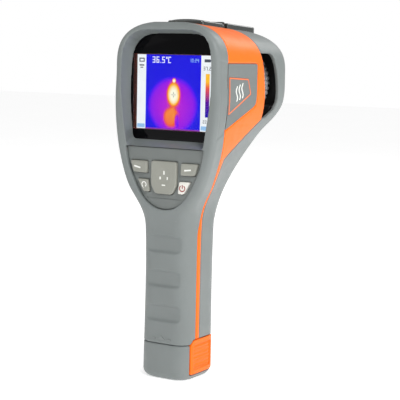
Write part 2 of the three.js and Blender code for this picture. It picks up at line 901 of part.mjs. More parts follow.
add("main_board", mainBoard(), finishes.board);
[-19, 19].forEach((x, side) => {
  add(`board_screw_${side + 1}`, screwHead(x, 198, 0, 1.7), finishes.steel);
});
add("buzzer", rodY(5, 3.9, 8, 11, 134), finishes.blackPlastic);
add("ir_core", irCore(), finishes.blackPlastic);
add("shutter_flag", shutterFlag(), finishes.steel);
add("shutter_post", shutterPost(), finishes.steel);
add("front_bulkhead", frontBulkhead(), finishes.blackPlastic);
BULKHEAD_SCREWS.forEach(([x, z], index) => {
  const head = screwHead(x, z, BULKHEAD_FRONT + GAP, BULKHEAD_FRONT + 2);
  add(`bulkhead_screw_${index + 1}`, head, finishes.steel);
});
add("lens_barrel", lensBarrel(), finishes.blackPlastic);
add("ir_lens", irLens(), finishes.germanium);
add("lens_retaining_ring", lensRetainingRing(), finishes.blackPlastic);
add("focus_ring", focusRing(), finishes.ring);
add("front_liner", frontLiner(), finishes.blackPlastic);
add("visible_camera", rodY(3.2, 62.6, 65, ...CAMERA_AT), finishes.blackPlastic);
add("camera_window", rodY(3.2, 65.3, 66, ...CAMERA_AT), finishes.clearGlass);
add("led_lamp", rodY(3.2, 62.6, 66, ...LAMP_AT), finishes.lamp);

add("port_cover", portCover(), finishes.darkPlate);
add("port_hinge_pin", portHingePin(), finishes.steel);
add("top_trim", topTrim(), finishes.darkPlate);
add("usb_socket", socket(4.5, 6.5, 3.6, 0.8), finishes.steel);
add("card_slot", socket(7.4, 16.5, 6.2, 0.9), finishes.steel);

add("trigger", trigger(), finishes.blackPlastic);
add("trigger_pin", triggerPin(), finishes.steel);
add("trigger_spring", triggerSpring(), finishes.steel);
add("trigger_switch", block([-3.5, 3.5], [3, 9], [100, 110]), finishes.blackPlastic);
HANDLE_SCREWS.forEach((z, i) => add(`handle_screw_${i + 1}`, handleScrew(z), finishes.steel));

add("contact_block", block([-9, 9], [-6, 6], [90.4, 97]), finishes.blackPlastic);
add("battery_case", batteryCase(), finishes.blackPlastic);
[-5, 0, 5].forEach((x, i) => {
  const terminal = block([x - 1.2, x + 1.2], [-4, 4], [BATTERY_TOP + GAP, BATTERY_TOP + 1.6]);
  add(`battery_terminal_${i + 1}`, terminal, finishes.brass);
});
add("base_cap", baseCap(), finishes.grey);
add("battery_latch", latch(), finishes.orange);
add("latch_spring", latchSpring(), finishes.steel);

export default camera;
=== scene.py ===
"""A handheld thermal imaging camera with its looks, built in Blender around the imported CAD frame.

Lengths inside the shape code are in millimetres, in the row frame; place() turns them to metres.
"""

import json
import math

import bmesh
import bpy
import numpy as np
from mathutils import Matrix, Vector

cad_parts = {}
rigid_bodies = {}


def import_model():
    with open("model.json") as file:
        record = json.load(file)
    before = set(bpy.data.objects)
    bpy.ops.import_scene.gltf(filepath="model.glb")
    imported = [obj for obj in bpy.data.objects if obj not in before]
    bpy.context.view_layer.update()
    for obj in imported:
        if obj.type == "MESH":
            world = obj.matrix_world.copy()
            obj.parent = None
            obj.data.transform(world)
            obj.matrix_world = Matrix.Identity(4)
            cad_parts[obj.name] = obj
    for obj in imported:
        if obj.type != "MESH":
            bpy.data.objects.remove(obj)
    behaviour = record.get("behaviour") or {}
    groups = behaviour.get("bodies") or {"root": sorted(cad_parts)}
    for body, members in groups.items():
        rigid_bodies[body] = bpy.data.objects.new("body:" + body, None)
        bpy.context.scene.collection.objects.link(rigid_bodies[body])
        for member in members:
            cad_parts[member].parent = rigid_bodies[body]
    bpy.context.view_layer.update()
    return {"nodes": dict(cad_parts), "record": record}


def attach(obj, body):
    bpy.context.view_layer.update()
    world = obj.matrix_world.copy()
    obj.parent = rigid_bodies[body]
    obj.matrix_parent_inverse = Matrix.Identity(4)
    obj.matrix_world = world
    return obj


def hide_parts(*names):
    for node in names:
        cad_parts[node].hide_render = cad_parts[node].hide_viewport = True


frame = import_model()

MM = 0.001
PI = math.pi

# ---------------------------------------------------------------- driving dimensions, as in the CAD

GAP = 0.3
WALL = 2.4
BASE_ROUNDING = 4
BASE_ROUNDING_HEIGHT = 5
HEAD_FRONT = 76.5
HEAD_TOP = 218.5
CROWN_START = 190
CROWN_END = 0.985
CROWN_DEPTH_CENTRE = 45
LEAN = 0.045
CAP_SEAM = 22.3
DISPLAY_DEPTH = -9.3
LENS_CENTRE = 182.3
KEYPAD_FACE = -18
KEY_FACE = -19.8
NAV_CENTRE = 125
COVER_HALF_WIDTH = 13
COVER_BOTTOM = 217.3
COVER_TOP = 220.4
COVER_REAR = 0.5
TRIM_FRONT = 69
TRIM_TOP = 221
RING_RADIUS = 24
RING_BACK = 54
RING_FRONT = 68
LINER_FRONT = 73
LINER_CHIN = 61
CAMERA_AT = (-22.5, 163.2)
LAMP_AT = (22.5, 163.2)
OPTIC_RADIUS = 3.2
HINGE_Y = 28
HINGE_Z = 219.5
HINGE_RADIUS = 2.1
HINGE_HOLE = 1.1
TRIGGER_PIVOT = (23, 121)
BATTERY_HALF = 12.8
BATTERY_TOP = 88
EVERYWHERE = (-90, 90)

REAR_WIDTHS = [
    (0, 17.5), (94, 17.5), (106, 19.8), (121, 28.5), (139, 34.2), (155, 36.9), (172, 38), (190, 37.5)
]
FRONT_WIDTHS = [(0, 17.5), (110, 17.8), (128, 20), (150, 28), (168, 33), (190, 34)]
FRONT_FACES = [
    (0, 18.5), (94, 18.5), (103, 20.6), (115, 26.4), (128, 35.5), (150, 52), (162, 68.5), (171, 75.5),
    (190, 76.5),
]
REAR_FACES = [(0, -18.5), (92, -18.5), (112, -20), (190, -20)]
REAR_ROUNDING = [(0, 11), (95, 11), (120, 5.5), (190, 5)]
FRONT_ROUNDING = 11
CORNER_STEPS = 10

# In X and Z, anticlockwise.
DISPLAY = [(-29.5, 147.3), (29.5, 147.3), (32.2, 174), (30, 212), (-30, 212), (-32.2, 174)]
DISPLAY_LIP = [(-27.4, 143.3), (27.4, 143.3), (32.6, 176), (31.4, 214.6), (-31.4, 214.6), (-32.6, 176)]
DISPLAY_CORNERS = [3, 3, 12, 18, 18, 12]
KEYPAD = [
    (-26.3, 133.4), (-20.8, 121.2), (-14.8, 112), (-7.5, 107), (0, 105.6), (7.5, 107), (14.8, 112),
    (20.8, 121.2), (26.3, 133.4), (27.9, 143.2), (-27.9, 143.2),
]
KEYPAD_CORNERS = [5, 5, 4, 3.5, 4, 3.5, 4, 5, 5, 0.6, 0.6]
SOFT_KEY = [(12.1, 127.3), (22.2, 127.6), (24.3, 134.8), (12.3, 134.8)]
LOWER_KEY = [(10.3, 116), (14.6, 116), (19, 123.7), (11.2, 123.7)]
NAV_PAD = [(-6, 115.2), (6, 115.2), (9.2, 120.5), (9.2, 135.3), (-9.2, 135.3), (-9.2, 120.5)]
MOUTH = [(-27, 157.3), (27, 157.3), (31, 175), (29, 205), (-29, 205), (-31, 175)]
MOUTH_CORNERS = [6, 6, 9, 14, 14, 9]

# In Y and Z, anticlockwise.
REAR_REGION = [
    (-60, 10), (-6.4, 10), (-6.4, 90), (-4.2, 101), (-2.6, 116), (-4.6, 138), (-7.5, 152), (-7.5, 240),
    (-60, 240),
]
FRONT_REGION = [
    (-2.3, 10), (130, 10), (130, 240), (31, 240), (33, 213), (36.5, 201), (39.8, 190), (41.5, 178),
    (41.5, 160), (1.5, 137), (-0.6, 116), (-2.1, 101),
]
WINDOW = [(30, 160.2), (46, 161), (56, 165.5), (60.5, 171.5), (59.5, 185), (53.5, 201.3), (30, 201.3)]
PAD = [(-7.2, 155.3), (30.3, 169.5), (30.8, 194.8), (-7.2, 194.8)]
PAD_CORNERS = [1, 4, 2, 1]
LABEL = [(-6, 164.2), (22, 176.2), (18.4, 185.6), (-6, 186.6)]
LATCH = [(-11.4, 3.8), (14.2, 3.8), (14.2, 25), (-8.6, 25), (-11.4, 22.2)]
TRIGGER = [
    (17, 96), (21, 94), (25.6, 95.5), (26.2, 103), (28.5, 110), (31, 116.5), (26.8, 118.4),
    (26.4, 123), (20, 124.5), (19, 114),
]


# ---------------------------------------------------------------- solids from points


def solid(verts, faces):
    """A scratch object of one closed surface, in millimetres."""
    mesh = bpy.data.meshes.new("scratch")
    mesh.from_pydata([tuple(v) for v in verts], [], faces)
    bm = bmesh.new()
    bm.from_mesh(mesh)
    bmesh.ops.remove_doubles(bm, verts=bm.verts, dist=1e-4)
    bmesh.ops.recalc_face_normals(bm, faces=bm.faces)
    bm.to_mesh(mesh)
    bm.free()
    made = bpy.data.objects.new("scratch", mesh)
    bpy.context.scene.collection.objects.link(made)
    return made


def loft(sections):
    """A skin through closed rings with the same number of points, capped at both ends."""
    n = len(sections[0])
    verts = [p for section in sections for p in section]
    faces = []
    for k in range(len(sections) - 1):
        for j in range(n):
            a, b = k * n + j, k * n + (j + 1) % n
            faces.append((a, b, b + n, a + n))
    faces.append(tuple(range(n))[::-1])
    faces.append(tuple(range(len(verts) - n, len(verts))))
    return solid(verts, faces)


def applied(ob):
    """The object with its modifiers baked into its mesh."""
    dg = bpy.context.evaluated_depsgraph_get()
    mesh = bpy.data.meshes.new_from_object(ob.evaluated_get(dg))
    old = ob.data
    ob.modifiers.clear()
    ob.data = mesh
    bpy.data.meshes.remove(old)
    return ob


def copied(ob):
    """A scratch object with a mesh of its own."""
    twin = ob.copy()
    twin.data = ob.data.copy()
    bpy.context.scene.collection.objects.link(twin)
    return twin


def combined(ob, how, tools):
    """A boolean of ob with each tool in turn, which uses the tools up."""
    for tool in tools:
        step = ob.modifiers.new("bool", "BOOLEAN")
        step.object = tool
        step.operation = how
        step.solver = "MANIFOLD"
    applied(ob)
    for tool in tools:
        mesh = tool.data
        bpy.data.objects.remove(tool)
        bpy.data.meshes.remove(mesh)
    return ob


def cut(ob, *tools):
    return combined(ob, "DIFFERENCE", tools)


def join(ob, *tools):
    return combined(ob, "UNION", tools)


def common(ob, *tools):
    return combined(ob, "INTERSECT", tools)


def block(xs, ys, zs):
    corners = ((xs[0], ys[0]), (xs[1], ys[0]), (xs[1], ys[1]), (xs[0], ys[1]))
    return loft([[(x, y, z) for x, y in corners] for z in zs])


def outline(points, radius=0, steps=6):
    """The closed outline through the points, with each corner rounded by about its radius."""
    out = []
    for i, point in enumerate(points):
        corner = Vector(point)
        r = radius[i] if isinstance(radius, (list, tuple)) else radius
        if r <= 0:
            out.append(corner)
            continue
        start = corner + (Vector(points[i - 1]) - corner).normalized() * r
        end = corner + (Vector(points[(i + 1) % len(points)]) - corner).normalized() * r
        for k in range(steps + 1):
            t = k / steps
            out.append(start * (1 - t) ** 2 + corner * 2 * t * (1 - t) + end * t * t)
    return out


def grown(points, distance):
    """The anticlockwise points with every edge moved outwards."""
    out = []
    for i, point in enumerate(points):
        p = Vector(point)
        a = (p - Vector(points[i - 1])).normalized()
        b = (Vector(points[(i + 1) % len(points)]) - p).normalized()
        before, after = Vector((a.y, -a.x)), Vector((b.y, -b.x))
        out.append(p + (before + after) * (distance / (1 + before.dot(after))))
    return out


def mirrored(points):
    return [(-x, z) for x, z in points][::-1]


def plate_xz(points, y0, y1):
    return loft([[(x, y, z) for x, z in points] for y in (y0, y1)])


def plate_yz(points, x0, x1):
    return loft([[(x, y, z) for y, z in points] for x in (x0, x1)])


def pillow_xz(points, y_face, y_back, edge, steps=4):
    """An XZ plate whose face edge rounds over by edge millimetres."""
    rings = []
    for k in range(steps + 1):
        a = k / steps * PI / 2
        inset = edge * (1 - math.sin(a))
        ring = grown(points, -inset) if inset > 1e-6 else points
        rings.append([(p[0], y_face + edge * (1 - math.cos(a)), p[1]) for p in ring])
    rings.append([(p[0], y_back, p[1]) for p in points])
    return loft(rings)


def ring_points(radius, cx, cz, segments):
    return [(cx + radius * math.cos(2 * PI * i / segments), cz + radius * math.sin(2 * PI * i / segments))
            for i in range(segments)]


def turned_y(profile, x, z, segments=96):
    """A closed profile of (radius, y) turned about an axis along Y."""
    verts, rows = [], []
    for r, y in profile:
        if r < 1e-6:
            rows.append([len(verts)] * segments)
            verts.append((x, y, z))
            continue
        rows.append(list(range(len(verts), len(verts) + segments)))
        verts += [(px, y, pz) for px, pz in ring_points(r, x, z, segments)]
    faces = []
    for k in range(len(rows)):
        a, b = rows[k], rows[(k + 1) % len(rows)]
        for j in range(segments):
            quad = [a[j], a[(j + 1) % segments], b[(j + 1) % segments], b[j]]
            kept = [v for i, v in enumerate(quad) if v not in quad[:i]]
            if len(kept) > 2:
                faces.append(tuple(kept))
    return solid(verts, faces)


def rod_y(radius, y0, y1, x, z, segments=48):
    return plate_xz(ring_points(radius, x, z, segments), y0, y1)


def rod_x(radius, x0, x1, y, z, segments=32):
    return plate_yz(ring_points(radius, y, z, segments), x0, x1)


def ellipsoid(centre, radii, rows=24, columns=48):
    profile = [(math.sin(PI * k / rows), -math.cos(PI * k / rows)) for k in range(rows + 1)]
    ball = turned_y([(abs(r), y) for r, y in profile], 0, 0, columns)
    ball.data.transform(Matrix.Translation(centre) @ Matrix.Diagonal((*radii, 1)))
    return ball


def leaned(ob):
    """A solid drawn with level faces, leaned as the top of the head is."""
    lean = Matrix.Identity(4)
    lean[2][1] = -LEAN
    ob.data.transform(lean)
    return ob


def flipped(ob):
    """A copy on the other side of the middle plane."""
    twin = copied(ob)
    twin.data.transform(Matrix.Diagonal((-1, 1, 1, 1)))
    twin.data.flip_normals()
    return twin


def on_side(side, ob):
    """A solid made for the right side, turned over if it belongs on the left."""
    if side == "right":
        return ob
    twin = flipped(ob)
    bpy.data.objects.remove(ob)
    return twin


# ---------------------------------------------------------------- the outer form


def along(stops, z):
    """The value at z of a smooth curve through the stops, level at its ends."""
    last = len(stops) - 1
    if z <= stops[0][0]:
        return stops[0][1]
    if z >= stops[last][0]:
        return stops[last][1]
    i = next(k for k, stop in enumerate(stops) if stop[0] > z) - 1

    def slope(k):
        if k <= 0 or k >= last:
            return 0
        return (stops[k + 1][1] - stops[k - 1][1]) / (stops[k + 1][0] - stops[k - 1][0])

    span = stops[i + 1][0] - stops[i][0]
    t = (z - stops[i][0]) / span
    rise = stops[i + 1][1] - stops[i][1]
    a, b = slope(i) * span, slope(i + 1) * span
    return stops[i][1] + a * t + (3 * rise - 2 * a - b) * t * t + (a + b - 2 * rise) * t**3


def level(z, inset):
    """One level of the form: a rounded trapezoid drawn in by an inset."""
    t = (z - CROWN_START) / (HEAD_TOP - inset - CROWN_START)
    left = (1 - max(min(t, CROWN_END), 0) ** 3) ** 0.4
    low = max(0, 1 - z / BASE_ROUNDING_HEIGHT)
    drawn = BASE_ROUNDING * (1 - math.sqrt(1 - low * low)) + inset
    rear = along(REAR_FACES, z) + drawn + 4 * (1 - left)
    wide = along(REAR_WIDTHS, z) * left - drawn
    narrow = along(FRONT_WIDTHS, z) * left - drawn
    front = along(FRONT_FACES, z) - (HEAD_FRONT - CROWN_DEPTH_CENTRE) * (1 - left) - drawn
    rear_radius = max(along(REAR_ROUNDING, z) - inset, 1) * max(left, 0.5)
    front_radius = max(FRONT_ROUNDING - inset, 1) * max(left, 0.5)
    corners = [(-wide, rear), (wide, rear), (narrow, front), (-narrow, front)]
    ring = outline(corners, [rear_radius, rear_radius, front_radius, front_radius], CORNER_STEPS)
    share = min(max((z - 150) / 65, 0), 1)
    fall = LEAN * share * share * (3 - 2 * share)
    return [(p.x, p.y, z - fall * p.y) for p in ring]


FORMS = {}


def form(inset):
    """A copy of the whole outer form drawn in by an inset, standing on z = 0."""
    if inset not in FORMS:
        base = [BASE_ROUNDING_HEIGHT * (1 - math.cos(PI / 2 * k / 8)) for k in range(9)]
        body = list(np.arange(7, CROWN_START, 2.0)) + [CROWN_START]
        height = HEAD_TOP - inset - CROWN_START
        crown = [CROWN_START + CROWN_END * height * math.sin(PI / 2 * k / 26) for k in range(1, 27)]
        FORMS[inset] = loft([level(z, inset) for z in base + body + crown])
        FORMS[inset].hide_render = True
    twin = copied(FORMS[inset])
    twin.hide_render = False
    return twin


def rounded(ob, voxel=0.5, passes=4):
    """The solid on an even grid with its edges softened, as a moulded piece's are."""
    step = ob.modifiers.new("grid", "REMESH")
    step.mode = "VOXEL"
    step.voxel_size = voxel
    step.use_smooth_shade = True
    soft = ob.modifiers.new("soft", "SMOOTH")
    soft.iterations = passes
    soft.factor = 0.5
    return applied(ob)


# ---------------------------------------------------------------- placing pieces


def place(ob, name, body, nodes, material, sharp=None):
    """Gives a finished solid its name, metres, material, body and the CAD nodes it stands for."""
    ob.data.transform(Matrix.Scale(MM, 4))
    ob.name = ob.data.name = name
    ob.data.materials.clear()
    ob.data.materials.append(material)
    for polygon in ob.data.polygons:
        polygon.use_smooth = True
    if sharp:
        ob.data.set_sharp_from_angle(angle=math.radians(sharp))
    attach(ob, body)
    if nodes:
        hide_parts(*nodes)


# ---------------------------------------------------------------- materials


def linear(r, g, b):
    """Linear colour from display values of 0 to 255."""
    shares = [c / 255 for c in (r, g, b)]
    return tuple(c / 12.92 if c < 0.0405 else ((c + 0.055) / 1.055) ** 2.4 for c in shares) + (1,)


class Nodes:
    """Builds a node tree with short calls."""

    def __init__(self, name):
        self.material = bpy.data.materials.new(name)
        self.material.use_nodes = True
        self.tree = self.material.node_tree
        self.shader = self.tree.nodes["Principled BSDF"]
        self.coords = self.add("ShaderNodeTexCoord").outputs["Object"]

    def add(self, kind, **values):
        node = self.tree.nodes.new(kind)
        for key, value in values.items():
            setattr(node, key, value)
        return node

    def link(self, source, target):
        if hasattr(source, "is_output"):
            self.tree.links.new(source, target)
        else:
            target.default_value = source

    def math(self, how, a, b=0.0):
        node = self.add("ShaderNodeMath", operation=how)
        for socket, value in zip(node.inputs, (a, b)):
            self.link(value, socket)
        return node.outputs[0]

    def noise(self, scale, detail=3.0, rough=0.5):
        node = self.add("ShaderNodeTexNoise")
        self.link(self.coords, node.inputs["Vector"])
        node.inputs["Scale"].default_value = scale
        node.inputs["Detail"].default_value = detail
        node.inputs["Roughness"].default_value = rough
        return node.outputs["Fac"]

    def spread(self, value, low, high, to_low=0.0, to_high=1.0):
        node = self.add("ShaderNodeMapRange")
        for socket, v in zip(node.inputs, (value, low, high, to_low, to_high)):
            self.link(v, socket)
        return node.outputs[0]

    def mix(self, share, a, b):
        node = self.add("ShaderNodeMix", data_type="RGBA")
        self.link(share, node.inputs[0])
        self.link(a, node.inputs[6])
        self.link(b, node.inputs[7])
        return node.outputs[2]

    def ramp(self, value, stops):
        node = self.add("ShaderNodeValToRGB")
        while len(node.color_ramp.elements) < len(stops):
            node.color_ramp.elements.new(0.5)
        for element, (position, colour) in zip(node.color_ramp.elements, stops):
            element.position, element.color = position, colour
        self.link(value, node.inputs[0])
        return node.outputs[0]


def scaled(colour, k):
    return tuple(min(c * k, 1) for c in colour[:3]) + (1,)


def surface(name, colour, rough, metal=0.0, grain=2400, bump=0.25, mottle=0.05, edge_lightening=0.2, coat=0.0,
            shine=0.5):
    """A moulded or machined surface: fine grain, slow colour drift, specks and edges mixed towards a lighter
    grey.
    """
    n = Nodes(name)
    drift = n.spread(n.noise(45, 4), 0.3, 0.7, 0, 1)
    tint = n.mix(drift, scaled(colour, 1 - mottle), scaled(colour, 1 + mottle))
    fine = n.noise(grain, 2, 0.6)
    tint = n.mix(n.spread(fine, 0.55, 0.8, 0, 0.12), tint, scaled(colour, 0.6))
    # Edges, found by the mesh's pointiness, are mixed towards a lighter grey by the given amount.
    edge = n.add("ShaderNodeNewGeometry").outputs["Pointiness"]
    lighter_edge_share = n.spread(edge, 0.53, 0.62, 0, edge_lightening)
    grey = scaled(tuple(c * 0.6 + 0.16 for c in colour[:3]), 1.1)
    n.link(n.mix(lighter_edge_share, tint, grey), n.shader.inputs["Base Color"])
    smear = n.noise(160, 3, 0.6)
    n.link(n.spread(smear, 0.3, 0.7, rough - 0.05, rough + 0.06), n.shader.inputs["Roughness"])
    n.shader.inputs["Metallic"].default_value = metal
    n.shader.inputs["Coat Weight"].default_value = coat
    n.shader.inputs["Coat Roughness"].default_value = 0.08
    n.shader.inputs["Specular IOR Level"].default_value = shine
    relief = n.add("ShaderNodeBump")
    relief.inputs["Strength"].default_value = bump
    relief.inputs["Distance"].default_value = 0.00005
    n.link(fine, relief.inputs["Height"])
    n.link(relief.outputs[0], n.shader.inputs["Normal"])
    return n.material


GREY = surface("grey_plastic", linear(121, 127, 126), 0.44)
PADS = surface("pad_plastic", linear(113, 118, 117), 0.56, grain=1800, bump=0.4)
ORANGE = surface("orange_plastic", linear(255, 112, 2), 0.4, grain=3000, bump=0.08, mottle=0.03, edge_lightening=0.05,
                 shine=0.3)
ORANGE_LINE = surface("orange_line", linear(240, 120, 70), 0.4, grain=3000, bump=0.08, edge_lightening=0.0)
INLAY = surface("keypad_plastic", linear(112, 117, 115), 0.5, grain=2000, bump=0.3)
KEY_RUBBER = surface("key_rubber", linear(146, 147, 138), 0.48, grain=1600, bump=0.5, mottle=0.07, edge_lightening=0.3)
POWER_RUBBER = surface("power_rubber", linear(226, 224, 216), 0.42, grain=1600, bump=0.3, mottle=0.03,
                       edge_lightening=0.0)
RING = surface("ring_rubber", linear(186, 188, 192), 0.5, grain=1500, bump=0.5, mottle=0.08)
BLACK = surface("black_plastic", linear(24, 25, 26), 0.45, grain=1800, bump=0.4, edge_lightening=0.15)
BLACK_GLOSS = surface("black_glass", linear(4, 4, 6), 0.07, grain=600, bump=0.0, edge_lightening=0.0, shine=0.12)
SOFT_BLACK = surface("soft_rubber", linear(46, 48, 47), 0.75, grain=1400, bump=0.5)
TOP_PLATE = surface("top_plate", linear(48, 54, 52), 0.14, metal=0.25, grain=900, bump=0.1, edge_lightening=0.3,
                    coat=0.8)
STEEL = surface("steel", linear(176, 178, 181), 0.3, metal=1.0, grain=1200, bump=0.2, mottle=0.08)
BRASS = surface("brass", linear(201, 164, 90), 0.3, metal=1.0, grain=1200, bump=0.2, mottle=0.08)
WHITE_INK = surface("white_ink", linear(236, 237, 232), 0.45, grain=2000, bump=0.1, edge_lightening=0.0)
RED_INK = surface("red_ink", linear(140, 24, 22), 0.45, grain=2000, bump=0.1, edge_lightening=0.0)
LAMP = surface("lamp", linear(232, 230, 214), 0.15, grain=700, bump=0.6, edge_lightening=0.0, coat=0.6)


def board_material():
    n = Nodes("circuit_board")
    traces = n.add("ShaderNodeTexBrick")
    n.link(n.coords, traces.inputs["Vector"])
    traces.inputs["Scale"].default_value = 260
    traces.inputs["Color1"].default_value = linear(20, 84, 48)
    traces.inputs["Color2"].default_value = linear(26, 100, 58)
    traces.inputs["Mortar"].default_value = linear(60, 130, 84)
    n.link(traces.outputs["Color"], n.shader.inputs["Base Color"])
    n.shader.inputs["Roughness"].default_value = 0.35
    return n.material


def germanium_material():
    n = Nodes("germanium")
    sheen = n.noise(18, 1)
    n.link(n.mix(sheen, linear(40, 46, 66), linear(74, 66, 78)), n.shader.inputs["Base Color"])
    n.shader.inputs["Metallic"].default_value = 0.7
    n.shader.inputs["Roughness"].default_value = 0.1
    n.shader.inputs["Coat Weight"].default_value = 1.0
    return n.material


def clear_material():
    n = Nodes("clear_pane")
    n.shader.inputs["Base Color"].default_value = (0.96, 0.97, 1, 1)
    n.shader.inputs["Transmission Weight"].default_value = 1.0
    n.shader.inputs["IOR"].default_value = 1.12
    smear = n.noise(60, 3)
    n.link(n.spread(smear, 0.3, 0.7, 0.01, 0.05), n.shader.inputs["Roughness"])
    return n.material


def glow(n, colour, strength=1.0):
    n.shader.inputs["Base Color"].default_value = (0.01, 0.01, 0.01, 1)
    n.shader.inputs["Roughness"].default_value = 0.3
    n.shader.inputs["Specular IOR Level"].default_value = 0.1
    n.shader.inputs["Emission Strength"].default_value = strength
    n.link(colour, n.shader.inputs["Emission Color"])
    return n.material


IRON = [
    (0.0, linear(8, 0, 170)), (0.22, linear(14, 4, 232)), (0.4, linear(112, 0, 236)),
    (0.55, linear(178, 10, 214)), (0.68, linear(240, 84, 60)), (0.82, linear(255, 190, 40)),
    (1.0, linear(255, 252, 226)),
]


BAR_HEIGHTS = (162.3, 188.3)


def blob(n, x, z, rx, rz, soft, cx, cz):
    """1 inside an ellipse, falling to 0 outside it over a soft share of its size."""
    dx = n.math("DIVIDE", n.math("SUBTRACT", x, cx * MM), rx * MM)
    dz = n.math("DIVIDE", n.math("SUBTRACT", z, cz * MM), rz * MM)
    far = n.math("SQRT", n.math("ADD", n.math("MULTIPLY", dx, dx), n.math("MULTIPLY", dz, dz)))
    node = n.add("ShaderNodeMapRange", interpolation_type="SMOOTHSTEP")
    for socket, v in zip(node.inputs, (far, 1 - soft, 1 + soft, 1.0, 0.0)):
        n.link(v, socket)
    return node.outputs[0]


def thermal_material():
    """The picture on the display: a warm bottle-like shape on a cool ground, in an iron palette."""
    n = Nodes("thermal_picture")
    parts = n.add("ShaderNodeSeparateXYZ")
    n.link(n.coords, parts.inputs[0])
    x, z = parts.outputs[0], parts.outputs[2]
    heat = n.math("ADD", 0.15, n.math("MULTIPLY", n.noise(90, 2), 0.06))
    # Heat added, half width, half height, softness and centre of each ellipse.
    spots = (
        (0.24, 17.3, 16.6, 0.14, -2.2, 168.4), (0.13, 12, 13, 0.7, -2.4, 168.0),
        (0.14, 4.6, 7.0, 0.22, -1.5, 175.7), (0.36, 3.6, 6.1, 0.85, -1.5, 175.4),
        (0.5, 1.2, 1.3, 0.5, -1.3, 183.9), (0.15, 5.8, 6.3, 0.25, -3.0, 161.0),
        (0.04, 4.4, 5.2, 0.4, -3.4, 160.6), (-0.2, 1.5, 3.6, 0.5, 1.2, 159.4),
    )
    for amount, rx, rz, soft, cx, cz in spots:
        heat = n.math("ADD", heat, n.math("MULTIPLY", blob(n, x, z, rx, rz, soft, cx, cz), amount))
    return glow(n, n.ramp(heat, IRON))


def bar_material():
    n = Nodes("colour_bar")
    parts = n.add("ShaderNodeSeparateXYZ")
    n.link(n.coords, parts.inputs[0])
    share = n.spread(parts.outputs[2], *[z * MM for z in BAR_HEIGHTS])
    return glow(n, n.ramp(share, IRON[:1] + [(0.35, linear(90, 0, 150))] + IRON[4:6]))


def lit(name, colour, strength=1.0):
    n = Nodes(name)
    return glow(n, n.mix(n.spread(n.noise(120, 2), 0.3, 0.7), scaled(colour, 0.94), colour), strength)


BOARD = board_material()
GERMANIUM = germanium_material()
CLEAR = clear_material()
THERMAL = thermal_material()
COLOUR_BAR = bar_material()
LIT_WHITE = lit("lit_white", linear(246, 250, 250))
LIT_BLUE = lit("lit_blue", linear(150, 196, 236))
LIT_DARK = lit("lit_dark", linear(86, 92, 104), 0.8)
LIT_VIOLET = lit("lit_violet", linear(170, 60, 200), 0.8)
FRAME_BROWN = surface("panel_frame", linear(92, 44, 34), 0.35, grain=900, bump=0.1, edge_lightening=0.0)


# ---------------------------------------------------------------- housings


def latch_room():
    return cut(plate_yz(outline(grown(LATCH, 0.4), 0.5), 8, 60), form(4.2))


def cover_pocket():
    width = COVER_HALF_WIDTH + GAP
    return leaned(block((-width, width), (COVER_REAR - GAP, TRIM_FRONT + 0.4), (COVER_BOTTOM - GAP, 240)))


hollow = cut(form(WALL), block(EVERYWHERE, (40, 130), (-10, 156)))
walls = cut(form(0), hollow, block(EVERYWHERE, EVERYWHERE, (-10, CAP_SEAM + GAP)), latch_room())


def scoop(z):
    """A shallow finger rest across the back of the grip, with a flat floor and steep ends."""
    rest = [(-12.2, z - 3.6), (12.2, z - 3.6), (13.4, z), (12.2, z + 3.9), (-12.2, z + 3.9), (-13.4, z)]
    rings = [[(x, y, w) for x, w in outline(grown(rest, grow), 2.4)]
             for y, grow in ((-17.0, 0.1), (-17.25, 0.75), (-18.5, 1.7), (-22, 4.2))]
    return loft(rings)


def rear_shell():
    region = plate_yz(grown(REAR_REGION, -GAP / 2), *EVERYWHERE)
    tray = common(plate_xz(outline(grown(DISPLAY, 3), DISPLAY_CORNERS), -19, DISPLAY_DEPTH), form(0))
    shelf = common(plate_xz(outline(grown(KEYPAD, 2.4), KEYPAD_CORNERS), -19, -13), form(0))
    body = join(common(copied(walls), region), tray, shelf)
    lip = [(p, y) for p, y in ((DISPLAY_LIP, -40), (DISPLAY_LIP, -19.6), (DISPLAY, -9.6), (DISPLAY, 0))]
    opening = loft([[(x, y, z) for x, z in outline(p, DISPLAY_CORNERS)] for p, y in lip])
    stems = [rod_y(2, -20, -10, x, z, 24) for x, z in STEMS.values()]
    scoops = [scoop(z) for z in (41.6, 63, 84.3)]
    body = cut(body, opening, plate_xz(outline(grown(KEYPAD, GAP), KEYPAD_CORNERS), -40, -15),
               rod_y(3.1, -20, -10, 0, NAV_CENTRE), *stems, *scoops)
    step = [(-17.6, 149.5), (-5, 154.5), (-5, 195.2), (-17.6, 197.4)]
    side = cut(plate_yz(outline(step, 1), 20, 60), form(0.45))
    return cut(body, flipped(side), side)


def hinge_hole():
    return rod_x(HINGE_HOLE, -12, 12, HINGE_Y, HINGE_Z)


def outer_knuckle(x0, x1):
    """One of the two fixed lugs that hold the ends of the port cover's hinge pin."""
    lug = block((x0, x1), (HINGE_Y - 1.5, HINGE_Y + 1.5), (214, HINGE_Z))
    return leaned(cut(join(rod_x(HINGE_RADIUS, x0, x1, HINGE_Y, HINGE_Z), lug), hinge_hole()))


def frame_shell():
    rear = plate_yz(grown(REAR_REGION, GAP / 2), *EVERYWHERE)
    front = plate_yz(grown(FRONT_REGION, GAP / 2), *EVERYWHERE)
    port_box = common(leaned(block((-11.5, 11.5), (0.5, 25), (206, 217))), form(0))
    well = leaned(block((-9.5, 9.5), (2.5, 23), (208.5, 240)))
    room = cut(plate_yz(outline(grown(PAD, GAP), PAD_CORNERS), 0, 60), form(1.3))
    body = join(cut(copied(walls), rear, front), port_box)
    return cut(body, cover_pocket(), well, flipped(room), room)


